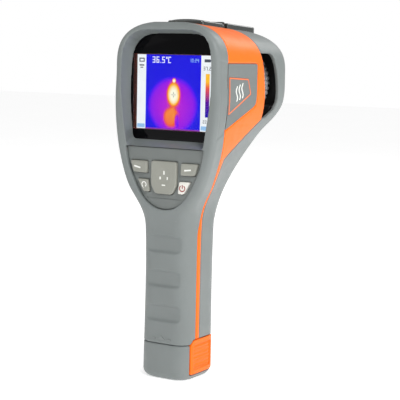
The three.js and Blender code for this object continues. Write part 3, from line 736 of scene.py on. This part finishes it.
def front_shell():
    region = plate_yz(grown(FRONT_REGION, -GAP / 2), *EVERYWHERE)
    body = common(copied(walls), region)
    boss = common(block((6.2, 9.4), (19, 36), (117, 125)), form(0))
    boss = cut(boss, rod_x(1.8, 5.2, 8.6, *TRIGGER_PIVOT))
    body = join(body, flipped(boss), boss)
    waves = [ellipsoid((0, 20.4, z), (13.2, 3.3, 8.2)) for z in (36, 58, 81)]
    sinks = [join(rod_y(2.9, 16.6, 25, 0, z), rod_y(1.5, 10, 17, 0, z)) for z in (47, 69.5)]
    return cut(body, plate_yz(outline(WINDOW, [0, 1, 3, 3, 6, 4, 0]), *EVERYWHERE),
               plate_xz(outline(MOUTH, MOUTH_CORNERS), 44, 130),
               block((-5.8, 5.8), (10, 45), (92.5, 119.8)), cover_pocket(), *waves, *sinks)


def middle(points):
    xs, zs = [p[0] for p in points], [p[1] for p in points]
    return (min(xs) + max(xs)) / 2, (min(zs) + max(zs)) / 2


KEYS = {
    "left_soft_key": mirrored(SOFT_KEY), "right_soft_key": SOFT_KEY,
    "back_key": mirrored(LOWER_KEY), "power_key": LOWER_KEY,
}
STEMS = {name: middle(points) for name, points in KEYS.items()}


def pad_skin():
    return cut(common(plate_yz(outline(PAD, PAD_CORNERS), 0, 60), form(0.3)), form(1.05),
               cut(plate_yz(outline(grown(LABEL, 0.25), 0.8), 0, 60), form(0.8)))


def label_skin():
    return cut(common(plate_yz(outline(LABEL, 0.8), 0, 60), form(0.32)), form(0.72))


def label_frame():
    inset = grown(LABEL, -0.75)
    return cut(common(plate_yz(outline(LABEL, 0.8), 0, 60), form(0.2)), form(0.6),
               plate_yz(outline(inset, 0.5), 0, 60))


def heat_mark():
    """Three plain wavy bars, the usual sign for heat."""
    bars = []
    for k in range(3):
        y0 = 3.4 + 3.6 * k
        ring = [(y0 + 0.9 * math.sin(t * 0.9) + side * 0.55, 172.2 + t * 1.15 + 0.9 * k)
                for side, steps in ((-1, range(9)), (1, range(8, -1, -1))) for t in steps]
        bars.append(cut(common(plate_yz(ring[::-1], 0, 60), form(0.24)), form(0.5)))
    return join(*bars)


def base_shell():
    cap = common(form(0), block(EVERYWHERE, EVERYWHERE, (-10, CAP_SEAM)))
    eyes = [rod_x(1.3, -30, -13.6, y, 13.2) for y in (-9.5, -3.5)]
    return cut(cap, latch_room(), *eyes, rod_y(1.3, -9.5, -3.5, -14.4, 13.2))


def latch_shell():
    body = cut(common(plate_yz(outline(LATCH, 1), 9, 60), form(-0.3)), form(2))
    dished = cut(plate_yz(outline(grown(LATCH, -2.7), 0.6), 9, 60), form(0.8))
    ribs = [plate_yz([(-7.9, z), (10.8, z), (10.8, z + 0.9), (-7.9, z + 0.9)], 9, 60)
            for z in (8.2, 10.5, 12.8, 15.1, 17.4, 19.7)]
    ribs = [cut(common(rib, form(0.35)), form(1.4)) for rib in ribs]
    return join(cut(body, dished), *ribs)


place(rounded(rear_shell(), 0.45, 3), "rear_cover_shell", "housing", ["rear_cover"], GREY)
place(rounded(frame_shell()), "orange_frame", "housing", ["mid_frame"], ORANGE)
place(rounded(front_shell()), "hood_and_grip", "housing", ["front_housing"], GREY)
place(rounded(base_shell()), "base_shell", "battery", ["base_cap"], GREY)
place(rounded(latch_shell(), 0.3, 3), "latch_button", "battery_latch", ["battery_latch"],
      ORANGE)
for side in ("right", "left"):
    pad = on_side(side, rounded(pad_skin(), 0.25, 2))
    place(pad, f"wing_pad_{side}", "housing", [f"side_pad_{side}"], PADS)
    label = on_side(side, rounded(label_skin(), 0.2, 1))
    place(label, f"label_panel_{side}", "housing", [f"label_plate_{side}"], PADS)
    line = on_side(side, label_frame())
    place(line, f"label_line_{side}", "housing", [], ORANGE_LINE, 40)
    mark = on_side(side, heat_mark())
    place(mark, f"heat_mark_{side}", "housing", [], WHITE_INK, 40)

# ---------------------------------------------------------------- display

PANE = ((-30.4, 28.3), (153.2, 199.7))
LIT = ((-28.4, 27.6), (153.7, 199.2))
PICTURE = (-21.9, 17.8)
INK_FACE = -7.54
INK_BACK = -7.5


def display():
    hole = block(PANE[0], (-12, -5), PANE[1])
    glass = cut(pillow_xz(outline(grown(DISPLAY, 0.6), DISPLAY_CORNERS, 8), -9, -7.8, 0.15), hole)
    place(glass, "display_glass", "housing", ["display_window"], BLACK_GLOSS, 30)
    margin = 0.02
    pane = [(x + margin * sx, z + margin * sz) for x, z, sx, sz in (
        (PANE[0][0], PANE[1][0], 1, 1), (PANE[0][1], PANE[1][0], -1, 1),
        (PANE[0][1], PANE[1][1], -1, -1), (PANE[0][0], PANE[1][1], 1, -1))]
    place(pillow_xz(pane, -8.95, -7.9, 0.05), "display_pane", "housing", [], CLEAR, 30)
    panel = block((-30.6, 29), (-7.5, -5.2), (151.5, 201.5))
    seat = block(LIT[0], (-8, -7.4), LIT[1])
    place(cut(panel, seat), "lcd_frame", "housing", ["lcd_panel"], FRAME_BROWN, 30)


def screen_patch(name, xs, zs, material, face=-7.46, corner=0.0):
    """A thin lit patch just in front of the panel, with cut corners."""
    points = [(xs[0], zs[0]), (xs[1], zs[0]), (xs[1], zs[1]), (xs[0], zs[1])]
    patch = plate_xz(outline(points, corner, 3), face, -7.38)
    place(patch, name, "housing", [], material, 30)


SEGMENTS = {
    "0": "abcdef", "1": "bc", "2": "abged", "3": "abgcd", "4": "fgbc", "5": "afgcd", "6": "afgedc",
    "7": "abc", "8": "abcdefg", "9": "abcdfg", "C": "afed",
}


def digit_bars(text, x, z, height):
    """Thin bars that write plain readout digits in seven segments."""
    bars = []
    width, line = height * 0.52, height * 0.14

    def bar(x0, z0, x1, z1):
        bars.append(block((x0, x1), (INK_FACE, INK_FACE + 0.04), (z0, z1)))

    for letter in text:
        if letter in ".:":
            for k in range(1 if letter == "." else 2):
                bar(x, z + k * height * 0.5, x + line, z + k * height * 0.5 + line)
            x += line * 2.4
            continue
        if letter == "o":
            bar(x, z + height * 0.66, x + width * 0.5, z + height)
            x += width * 0.8
            continue
        top, mid, low = z + height - line, z + (height - line) / 2, z
        places = {
            "a": (x, top, x + width, top + line), "g": (x, mid, x + width, mid + line),
            "d": (x, low, x + width, low + line), "f": (x, mid, x + line, z + height),
            "e": (x, low, x + line, mid + line), "b": (x + width - line, mid, x + width, z + height),
            "c": (x + width - line, low, x + width, mid + line),
        }
        for segment in SEGMENTS[letter]:
            bar(*places[segment])
        x += width * 1.45
    return join(*bars)


def screen():
    screen_patch("thermal_picture", PICTURE, (154.4, 199.2), THERMAL)
    screen_patch("screen_column_left", (LIT[0][0], PICTURE[0] - 0.04), LIT[1], LIT_WHITE)
    screen_patch("screen_column_right", (PICTURE[1] + 0.04, LIT[0][1]), LIT[1], LIT_WHITE)
    screen_patch("screen_base_line", PICTURE, (LIT[1][0], 154.36), LIT_VIOLET)
    screen_patch("colour_bar", (21.2, 24.0), BAR_HEIGHTS, COLOUR_BAR, -7.5)
    screen_patch("screen_tab_left", (-28.0, -22.4), (154.3, 156.6), LIT_BLUE, -7.5, 0.5)
    screen_patch("screen_tab_right", (18.4, 26.8), (154.3, 156.9), LIT_BLUE, -7.5, 0.5)
    texts = (
        ("readout_main", "36.5oC", -17.2, 194.2, 3.8, LIT_WHITE),
        ("readout_time", "10:24", 9.6, 195, 2.1, LIT_BLUE),
        ("readout_high", "37.2", 19.6, 190.4, 2.2, LIT_DARK),
        ("readout_low", "22.4", 19.8, 158.6, 2.0, LIT_DARK),
    )
    for name, text, x, z, height, material in texts:
        bars = digit_bars(text, x, z, height)
        place(bars, name, "housing", [], material, 30)
    icons = [block((-27.0 + dx, -27.0 + dx + w), (INK_FACE, INK_BACK), (z, z + h)) for dx, w, z, h in (
        (0, 3.6, 196.4, 0.7), (0.4, 2.8, 194.6, 0.6), (0, 0.7, 194.6, 2.4), (3.2, 0.7, 194.6, 2.4),
        (0.2, 3.4, 192.2, 0.8), (0.9, 2.0, 190.9, 0.6))]
    place(join(*icons), "screen_icons", "housing", [], LIT_DARK, 30)
    battery = [block((20.2, 24.4), (INK_FACE, INK_BACK), (195.2, 197.0)),
               block((24.3, 24.9), (INK_FACE, INK_BACK), (195.7, 196.5))]
    place(join(*battery), "screen_battery", "housing", [], LIT_DARK, 30)
    arms = [block((x0, x1), (INK_FACE, INK_BACK), (z0, z1)) for x0, x1, z0, z1 in (
        (-3.0, -1.9, 174.9, 175.2), (-1.1, 0.0, 174.9, 175.2),
        (-1.65, -1.35, 175.4, 176.6), (-1.65, -1.35, 173.5, 174.7))]
    for k, arm in enumerate(arms):
        place(arm, f"cross_mark_{k + 1}", "housing", [], LIT_DARK, 30)


display()
screen()

# ---------------------------------------------------------------- keypad


def keypad_plate():
    holes = [plate_xz(outline(grown(points, 0.35), 1.3), -30, -10) for points in (*KEYS.values(), NAV_PAD)]
    plate = pillow_xz(outline(KEYPAD, KEYPAD_CORNERS), KEYPAD_FACE, -15.3, 0.35)
    crease = [(-12.6, 112.7), (-12.2, 112.2), (12.2, 112.2), (12.6, 112.7)]
    return cut(plate, *holes, plate_xz(crease, -19, -17.7))


def key_cap(points, corner, *dish):
    """A key with a rounded edge and a shallow dish, an ellipsoid's centre and radii."""
    cap = pillow_xz(outline(points, corner, 8), KEY_FACE, -15.9, 0.75, 6)
    return cut(cap, ellipsoid(*dish))


place(keypad_plate(), "keypad_inlay", "housing", ["keypad_panel"], INLAY, 40)
for name, points in KEYS.items():
    cx, cz = STEMS[name]
    cap = key_cap(points, 1.4, (cx, -21.3, cz), (6.0, 1.75, 4.6))
    cap = join(rounded(cap, 0.22, 3), rod_y(1.6, -16.4, -13.8, cx, cz, 32))
    power = name == "power_key"
    place(cap, name + "_cap", name, [name],
          POWER_RUBBER if power else KEY_RUBBER)
nav = key_cap(NAV_PAD, 2, (0, -21.4, 126), (8.6, 1.95, 9.6))
place(rounded(nav, 0.25, 3), "nav_key_cap", "nav_key", ["nav_key"], KEY_RUBBER)


def ink_on_key(points, body, name, material, cap):
    """A printed mark: a thin plate whose face follows the key's dished face, just proud of it."""
    plate = plate_xz(points, -0.06, 0.3)
    depsgraph = bpy.context.evaluated_depsgraph_get()
    for vertex in plate.data.vertices:
        start = Vector((vertex.co.x * MM, -0.04, vertex.co.z * MM))
        hit, where, _, _ = bpy.data.objects[cap].evaluated_get(depsgraph).ray_cast(start, Vector((0, 1, 0)))
        vertex.co.y += where.y / MM if hit else -19.4
    place(plate, name, body, [], material, 30)


def bar_points(x, z, length, width, slope=0.0):
    a = math.radians(slope)
    run = Vector((math.cos(a), math.sin(a))) * length / 2
    rise = Vector((-math.sin(a), math.cos(a))) * width / 2
    c = Vector((x, z))
    return [tuple(c - run - rise), tuple(c + run - rise), tuple(c + run + rise), tuple(c - run + rise)]


def arc_points(x, z, radius, width, start, end, steps=14):
    angles = [math.radians(start + (end - start) * k / steps) for k in range(steps + 1)]
    outer, inner = radius + width / 2, radius - width / 2
    rim = [(x + outer * math.cos(a), z + outer * math.sin(a)) for a in angles]
    return rim + [(x + inner * math.cos(a), z + inner * math.sin(a)) for a in angles[::-1]]


for k, (x, z, length, width, slope) in enumerate(
        ((0.4, 128.3, 2.3, 0.9, 90), (-2.3, 125.0, 1.7, 0.9, 90), (2.9, 125.0, 1.7, 0.9, 90),
         (0.3, 120.8, 2.5, 0.7, 0))):
    ink_on_key(bar_points(x, z, length, width, slope), "nav_key", f"nav_mark_{k + 1}", WHITE_INK,
               "nav_key_cap")
for key, slope in (("left_soft_key", -12), ("right_soft_key", 6)):
    x, z = STEMS[key]
    ink_on_key(bar_points(x - 0.9, z - 0.2, 4.6, 0.95, slope), key, key + "_mark", WHITE_INK, key + "_cap")
x, z = STEMS["back_key"]
ink_on_key(arc_points(x + 0.7, z + 0.5, 1.6, 0.55, -50, 240), "back_key", "back_key_arc", WHITE_INK,
           "back_key_cap")
ink_on_key([(x - 0.9, z - 2.0), (x + 0.6, z - 1.9), (x - 0.3, z - 0.6)], "back_key", "back_key_tip",
           WHITE_INK, "back_key_cap")
x, z = STEMS["power_key"]
ink_on_key(arc_points(x - 0.9, z - 0.1, 1.8, 0.6, 125, 415, 20), "power_key", "power_key_arc", RED_INK,
           "power_key_cap")
ink_on_key(bar_points(x - 0.9, z + 0.9, 2.2, 0.6, 90), "power_key", "power_key_bar", RED_INK,
           "power_key_cap")

# ---------------------------------------------------------------- lens and hood


def knurled(radius, depth, inner, y0, y1, teeth, grooves=()):
    """A ring whose outside is cut in rounded teeth, softened at both ends."""
    segments = teeth * 10
    rows = [(y0, -1.6), (y0 + 0.25, -0.8), (y0 + 0.8, -0.2), (y0 + 1.4, 0)]
    for y in grooves:
        rows += [(y - 0.7, 0), (y - 0.3, -1.1), (y + 0.3, -1.1), (y + 0.7, 0)]
    rows += [(y1 - 1.4, 0), (y1 - 0.8, -0.2), (y1 - 0.25, -0.8), (y1, -1.6)]
    sections = []
    for y, drop in rows:
        ring = []
        for i in range(segments):
            a = 2 * PI * i / segments
            wave = 0.5 + 0.5 * math.cos(teeth * a)
            r = radius + drop - depth * (1 - min(1, wave * 1.7))
            ring.append((r * math.cos(a), y, LENS_CENTRE + r * math.sin(a)))
        sections.append(ring)
    return cut(loft(sections), rod_y(inner, y0 - 5, y1 + 5, 0, LENS_CENTRE, 120))


ring_body = knurled(RING_RADIUS, 0.9, 20.3, RING_BACK, RING_FRONT, 44, (58.5, 63.5))
place(ring_body, "focus_ring_grip", "focus_ring", ["focus_ring"], RING, 50)
BARREL = [(16, 34), (20, 34), (20, 65.8), (19.6, 66.2), (18.3, 66.2), (17.9, 65.8)]
for k in range(6):
    BARREL += [(17.9, 65.2 - k * 1.1), (18.25, 64.9 - k * 1.1), (17.9, 64.6 - k * 1.1)]
BARREL += [(17.9, 58.2), (16, 58.2)]
place(turned_y(BARREL, 0, LENS_CENTRE), "lens_tube", "housing", ["lens_barrel"], BLACK, 40)
LENS = [(0, 58.5), (17.5, 58.5), (17.5, 61)]
LENS += [(17 - 17 * k / 14, 61.1 + 1.6 * math.sin(PI / 2 * k / 14)) for k in range(15)]
place(turned_y(LENS, 0, LENS_CENTRE), "front_element", "housing", ["ir_lens"],
      GERMANIUM, 40)
RETAINER = [(14.6, 63), (17.6, 63), (17.6, 65.7), (17.3, 65.9), (16.5, 65.9), (16.2, 65.5), (15.8, 65.2),
            (15.4, 64.7), (15.0, 64.4), (14.6, 63.9)]
place(turned_y(RETAINER, 0, LENS_CENTRE), "retaining_ring", "housing", ["lens_retaining_ring"],
      BLACK, 40)


def liner():
    """The black face inside the hood's mouth, with a chin under the ring and sinks for two optics."""
    plan = outline(grown(MOUTH, GAP), MOUTH_CORNERS)
    chin = common(plate_xz(plan, LINER_CHIN - 2.5, LINER_FRONT), block((-60, 60), (50, 90), (150, 168)))
    face = common(join(plate_xz(plan, LINER_FRONT - 4, LINER_FRONT), chin), form(1.6))
    sinks = [rod_y(OPTIC_RADIUS + GAP, LINER_CHIN + 1.3, 80, *at) for at in (CAMERA_AT, LAMP_AT)]
    flare = loft([[(x, y, z) for x, z in ring_points(r, 0, LENS_CENTRE, 96)]
                  for r, y in ((21, 60), (21, 69.6), (23.4, 73.5), (23.4, 80))])
    return cut(face, rod_y(RING_RADIUS + 0.4, 50, 68.6, 0, LENS_CENTRE, 96), flare, *sinks)


def small_optic(at, radius, y0, y1):
    x, z = at
    profile = [(0, y0), (radius, y0), (radius, y1 - 0.4), (radius - 0.4, y1), (radius * 0.72, y1),
               (radius * 0.66, y1 - 0.5), (0, y1 - 0.5)]
    return turned_y(profile, x, z, 64)


place(rounded(liner(), 0.4, 3), "hood_face", "housing", ["front_liner"], BLACK)
place(small_optic(CAMERA_AT, OPTIC_RADIUS, 62.6, 65.2), "camera_module", "housing", ["visible_camera"],
      BLACK, 40)
PORTHOLE = [(0, 65.3), (OPTIC_RADIUS, 65.3), (OPTIC_RADIUS, 65.8), (2.9, 66), (1.5, 66.1), (0, 66.12)]
place(turned_y(PORTHOLE, *CAMERA_AT, 64), "camera_glass", "housing", ["camera_window"],
      BLACK_GLOSS, 40)
DOME = [(OPTIC_RADIUS * math.cos(PI / 2 * k / 12), 64.6 + 1.4 * math.sin(PI / 2 * k / 12)) for k in range(13)]
place(turned_y([(0, 62.6), (OPTIC_RADIUS, 62.6)] + DOME, *LAMP_AT, 64), "lamp_lens", "housing",
      ["led_lamp"], LAMP, 40)

# ---------------------------------------------------------------- top plates, trigger and battery


def top_slab(y0, y1, z0, z1, radii):
    """A plate that leans with the head's top, with a rounded upper edge."""
    w = COVER_HALF_WIDTH
    plan = outline([(-w, y0), (w, y0), (w, y1), (-w, y1)], radii, 8)
    rings = [[(p.x, p.y, z0) for p in plan]]
    for k in range(6):
        a = PI / 2 * k / 5
        ring = grown(plan, -0.9 * (1 - math.cos(a))) if k else plan
        rings.append([(p[0], p[1], z1 - 0.9 + 0.9 * math.sin(a)) for p in ring])
    return leaned(loft(rings))


def cover_plate():
    web = block((-6, 6), (HINGE_Y - 4, HINGE_Y), (HINGE_Z - 1.2, HINGE_Z + 1.2))
    knuckle = cut(join(rod_x(HINGE_RADIUS, -6, 6, HINGE_Y, HINGE_Z), web), hinge_hole())
    slab = top_slab(COVER_REAR, HINGE_Y - 2.8, COVER_BOTTOM, COVER_TOP, [3, 3, 1, 1])
    ridges = []
    for k in range(4):
        ridge = ellipsoid((0, COVER_REAR + 2.6 + 3.4 * k, COVER_TOP - 0.2), (11.4, 1.25, 1.15), 16, 48)
        ridges.append(leaned(ridge))
    return join(slab, leaned(knuckle), *ridges)


def trim_plate():
    """The fixed plate in front of the hinge, with a skirt that follows the hood."""
    radii = [1, 1, 7, 7]
    skirt = cut(top_slab(HINGE_Y + 2.6, TRIM_FRONT, 206, TRIM_TOP, radii), form(-GAP))
    body = join(skirt, top_slab(HINGE_Y + 2.6, TRIM_FRONT - 5, COVER_BOTTOM, TRIM_TOP, radii))
    groove = leaned(block((-20, 20), (HINGE_Y + 5.2, HINGE_Y + 6.0), (TRIM_TOP - 0.4, 223)))
    dish = leaned(ellipsoid((0, 50, TRIM_TOP + 1.2), (9.5, 13, 1.9)))
    return cut(body, groove, dish)


place(rounded(cover_plate(), 0.3, 2), "port_cover_plate", "port_cover", ["port_cover"],
      TOP_PLATE)
place(rounded(trim_plate(), 0.35, 2), "top_trim_plate", "housing", ["top_trim"], TOP_PLATE)
for name, x0, x1 in (("hinge_lug_right", 6.3, 11.5), ("hinge_lug_left", -11.5, -6.3)):
    place(rounded(outer_knuckle(x0, x1), 0.25, 1), name, "housing", [], TOP_PLATE)


def trigger_lever():
    radii = [1.5, 2, 2.5, 6, 6, 1.5, 1.5, 2, 2, 4]
    lever = plate_yz(outline(TRIGGER, radii), -5.2, 5.2)
    ribs = [rod_x(0.7, -4, 4, y, z, 16) for y, z in ((26.6, 104.5), (27.9, 107.7), (29.2, 110.8))]
    return cut(lever, rod_x(1.8, -8, 8, *TRIGGER_PIVOT), *ribs)


place(rounded(trigger_lever(), 0.35, 3), "trigger_lever", "trigger", ["trigger"], BLACK)


def battery_body():
    h = BATTERY_HALF
    plan = outline([(-h, -h), (h, -h), (h, h), (-h, h)], 4, 8)
    levels = ((1, CAP_SEAM + GAP), (1, BATTERY_TOP - 1.2), (0.985, BATTERY_TOP - 0.4), (0.95, BATTERY_TOP))
    case = loft([[(p.x * k, p.y * k, z) for p in plan] for k, z in levels])
    grooves = [block((-7, 7), (-14, -12.3), (z, z + 1)) for z in (34, 38, 42, 46, 50)]
    rails = [block((x - 1, x + 1), (12.3, 14), (26, 84)) for x in (-6, 6)]
    return cut(case, *grooves, *rails)


place(rounded(battery_body(), 0.45, 2), "battery_pack", "battery", ["battery_case"],
      SOFT_BLACK)


def seam_marks():
    """A plain pair of arrows that show which way the battery slides."""
    marks = [plate_xz(points, -18.75, -18.2) for points in (
        [(-2.4, 25.2), (2.4, 25.2), (0, 27.6)], [(-6.6, 25.2), (-4.4, 25.2), (-4.4, 25.9), (-6.6, 25.9)],
        [(4.4, 25.2), (6.6, 25.2), (6.6, 25.9), (4.4, 25.9)])]
    for k, mark in enumerate(marks):
        place(mark, f"seam_mark_{k + 1}", "housing", [], GREY, 30)


seam_marks()

# ---------------------------------------------------------------- finishes of the carried-over CAD nodes

FINISH_OF_SLOT = {
    "grey_shell": GREY, "orange_shell": ORANGE, "side_pad": PADS, "keypad_inlay": INLAY,
    "key_caps": KEY_RUBBER, "power_key_cap": POWER_RUBBER, "soft_rubber": SOFT_BLACK, "ring_rubber": RING,
    "top_plate": TOP_PLATE, "black_plastic": BLACK, "display_glass": BLACK_GLOSS,
    "lens_germanium": GERMANIUM, "clear_optics": BLACK_GLOSS, "lamp": LAMP, "circuit_board": BOARD,
    "steel": STEEL, "brass": BRASS,
}
for part in frame["record"]["subparts"]:
    node = frame["nodes"][part["node"]]
    node.data.materials.clear()
    node.data.materials.append(FINISH_OF_SLOT[part["material_slot"]])

# ---------------------------------------------------------------- camera, floor and light

AZIMUTH, ELEVATION, ROLL = math.radians(31.6), math.radians(6.75), math.radians(1.25)
DISTANCE = 0.775
TARGET = Vector((0.00575, 0.014, 0.1092))
FOCAL_LENGTH = 111.24
SENSOR_WIDTH = 36


def viewpoint():
    """The camera, to the user's right of the display and a little above it."""
    back = Vector((math.sin(AZIMUTH) * math.cos(ELEVATION), -math.cos(AZIMUTH) * math.cos(ELEVATION),
                   math.sin(ELEVATION)))
    right = (-back).cross(Vector((0, 0, 1))).normalized()
    up = right.cross(-back)
    x = right * math.cos(ROLL) + up * math.sin(ROLL)
    y = up * math.cos(ROLL) - right * math.sin(ROLL)
    data = bpy.data.cameras.new("photo_camera")
    data.sensor_width = SENSOR_WIDTH
    data.lens = FOCAL_LENGTH
    data.clip_start = 0.01
    camera = bpy.data.objects.new("photo_camera", data)
    turn = Matrix((x, y, back)).transposed().to_4x4()
    camera.matrix_world = Matrix.Translation(TARGET + back * DISTANCE) @ turn
    bpy.context.scene.collection.objects.link(camera)
    bpy.context.scene.camera = camera


def softbox(name, place_at, aim, size, power):
    data = bpy.data.lights.new(name, "AREA")
    data.shape = "RECTANGLE"
    data.size, data.size_y = size
    data.energy = power
    light = bpy.data.objects.new(name, data)
    light.location = place_at
    light.rotation_euler = (Vector(aim) - Vector(place_at)).to_track_quat("-Z", "Y").to_euler()
    bpy.context.scene.collection.objects.link(light)


def pale_floor():
    bm = bmesh.new()
    bmesh.ops.create_grid(bm, x_segments=4, y_segments=4, size=4)
    mesh = bpy.data.meshes.new("floor")
    bm.to_mesh(mesh)
    bm.free()
    floor = bpy.data.objects.new("floor", mesh)
    bpy.context.scene.collection.objects.link(floor)
    n = Nodes("pale_floor")
    n.link(n.mix(n.noise(6, 2), linear(246, 246, 246), linear(252, 252, 252)), n.shader.inputs["Base Color"])
    n.shader.inputs["Roughness"].default_value = 0.9
    n.shader.inputs["Emission Color"].default_value = (1, 1, 1, 1)
    n.shader.inputs["Emission Strength"].default_value = 0.52
    mesh.materials.append(n.material)


bpy.context.scene.view_settings.view_transform = "Standard"
viewpoint()
pale_floor()
world = bpy.data.worlds.new("studio")
bpy.context.scene.world = world
world.use_nodes = True
sky = world.node_tree.nodes["Background"]
sky.inputs["Color"].default_value = (1, 1, 1, 1)
# The backdrop shows pure white to the camera and lights the object more gently.
sees = world.node_tree.nodes.new("ShaderNodeLightPath")
bright = world.node_tree.nodes.new("ShaderNodeMapRange")
bright.inputs["To Min"].default_value = 0.46
bright.inputs["To Max"].default_value = 1.0
world.node_tree.links.new(sees.outputs["Is Camera Ray"], bright.inputs["Value"])
world.node_tree.links.new(bright.outputs[0], sky.inputs["Strength"])
softbox("key_light", (0.8, -0.55, 0.85), (0, 0, 0.13), (0.35, 0.35), 8)
softbox("fill_light", (-0.9, -0.6, 0.5), (0, 0, 0.11), (0.8, 0.8), 0.5)
softbox("side_light", (0.9, 0.1, 0.3), (0.02, 0.06, 0.17), (0.25, 0.25), 1.1)
softbox("back_light", (0.3, 1.0, 0.9), (0, 0, 0.15), (0.6, 0.6), 4)

for leftover in [ob for ob in bpy.data.objects if ob.name.startswith("scratch")]:
    bpy.data.objects.remove(leftover)
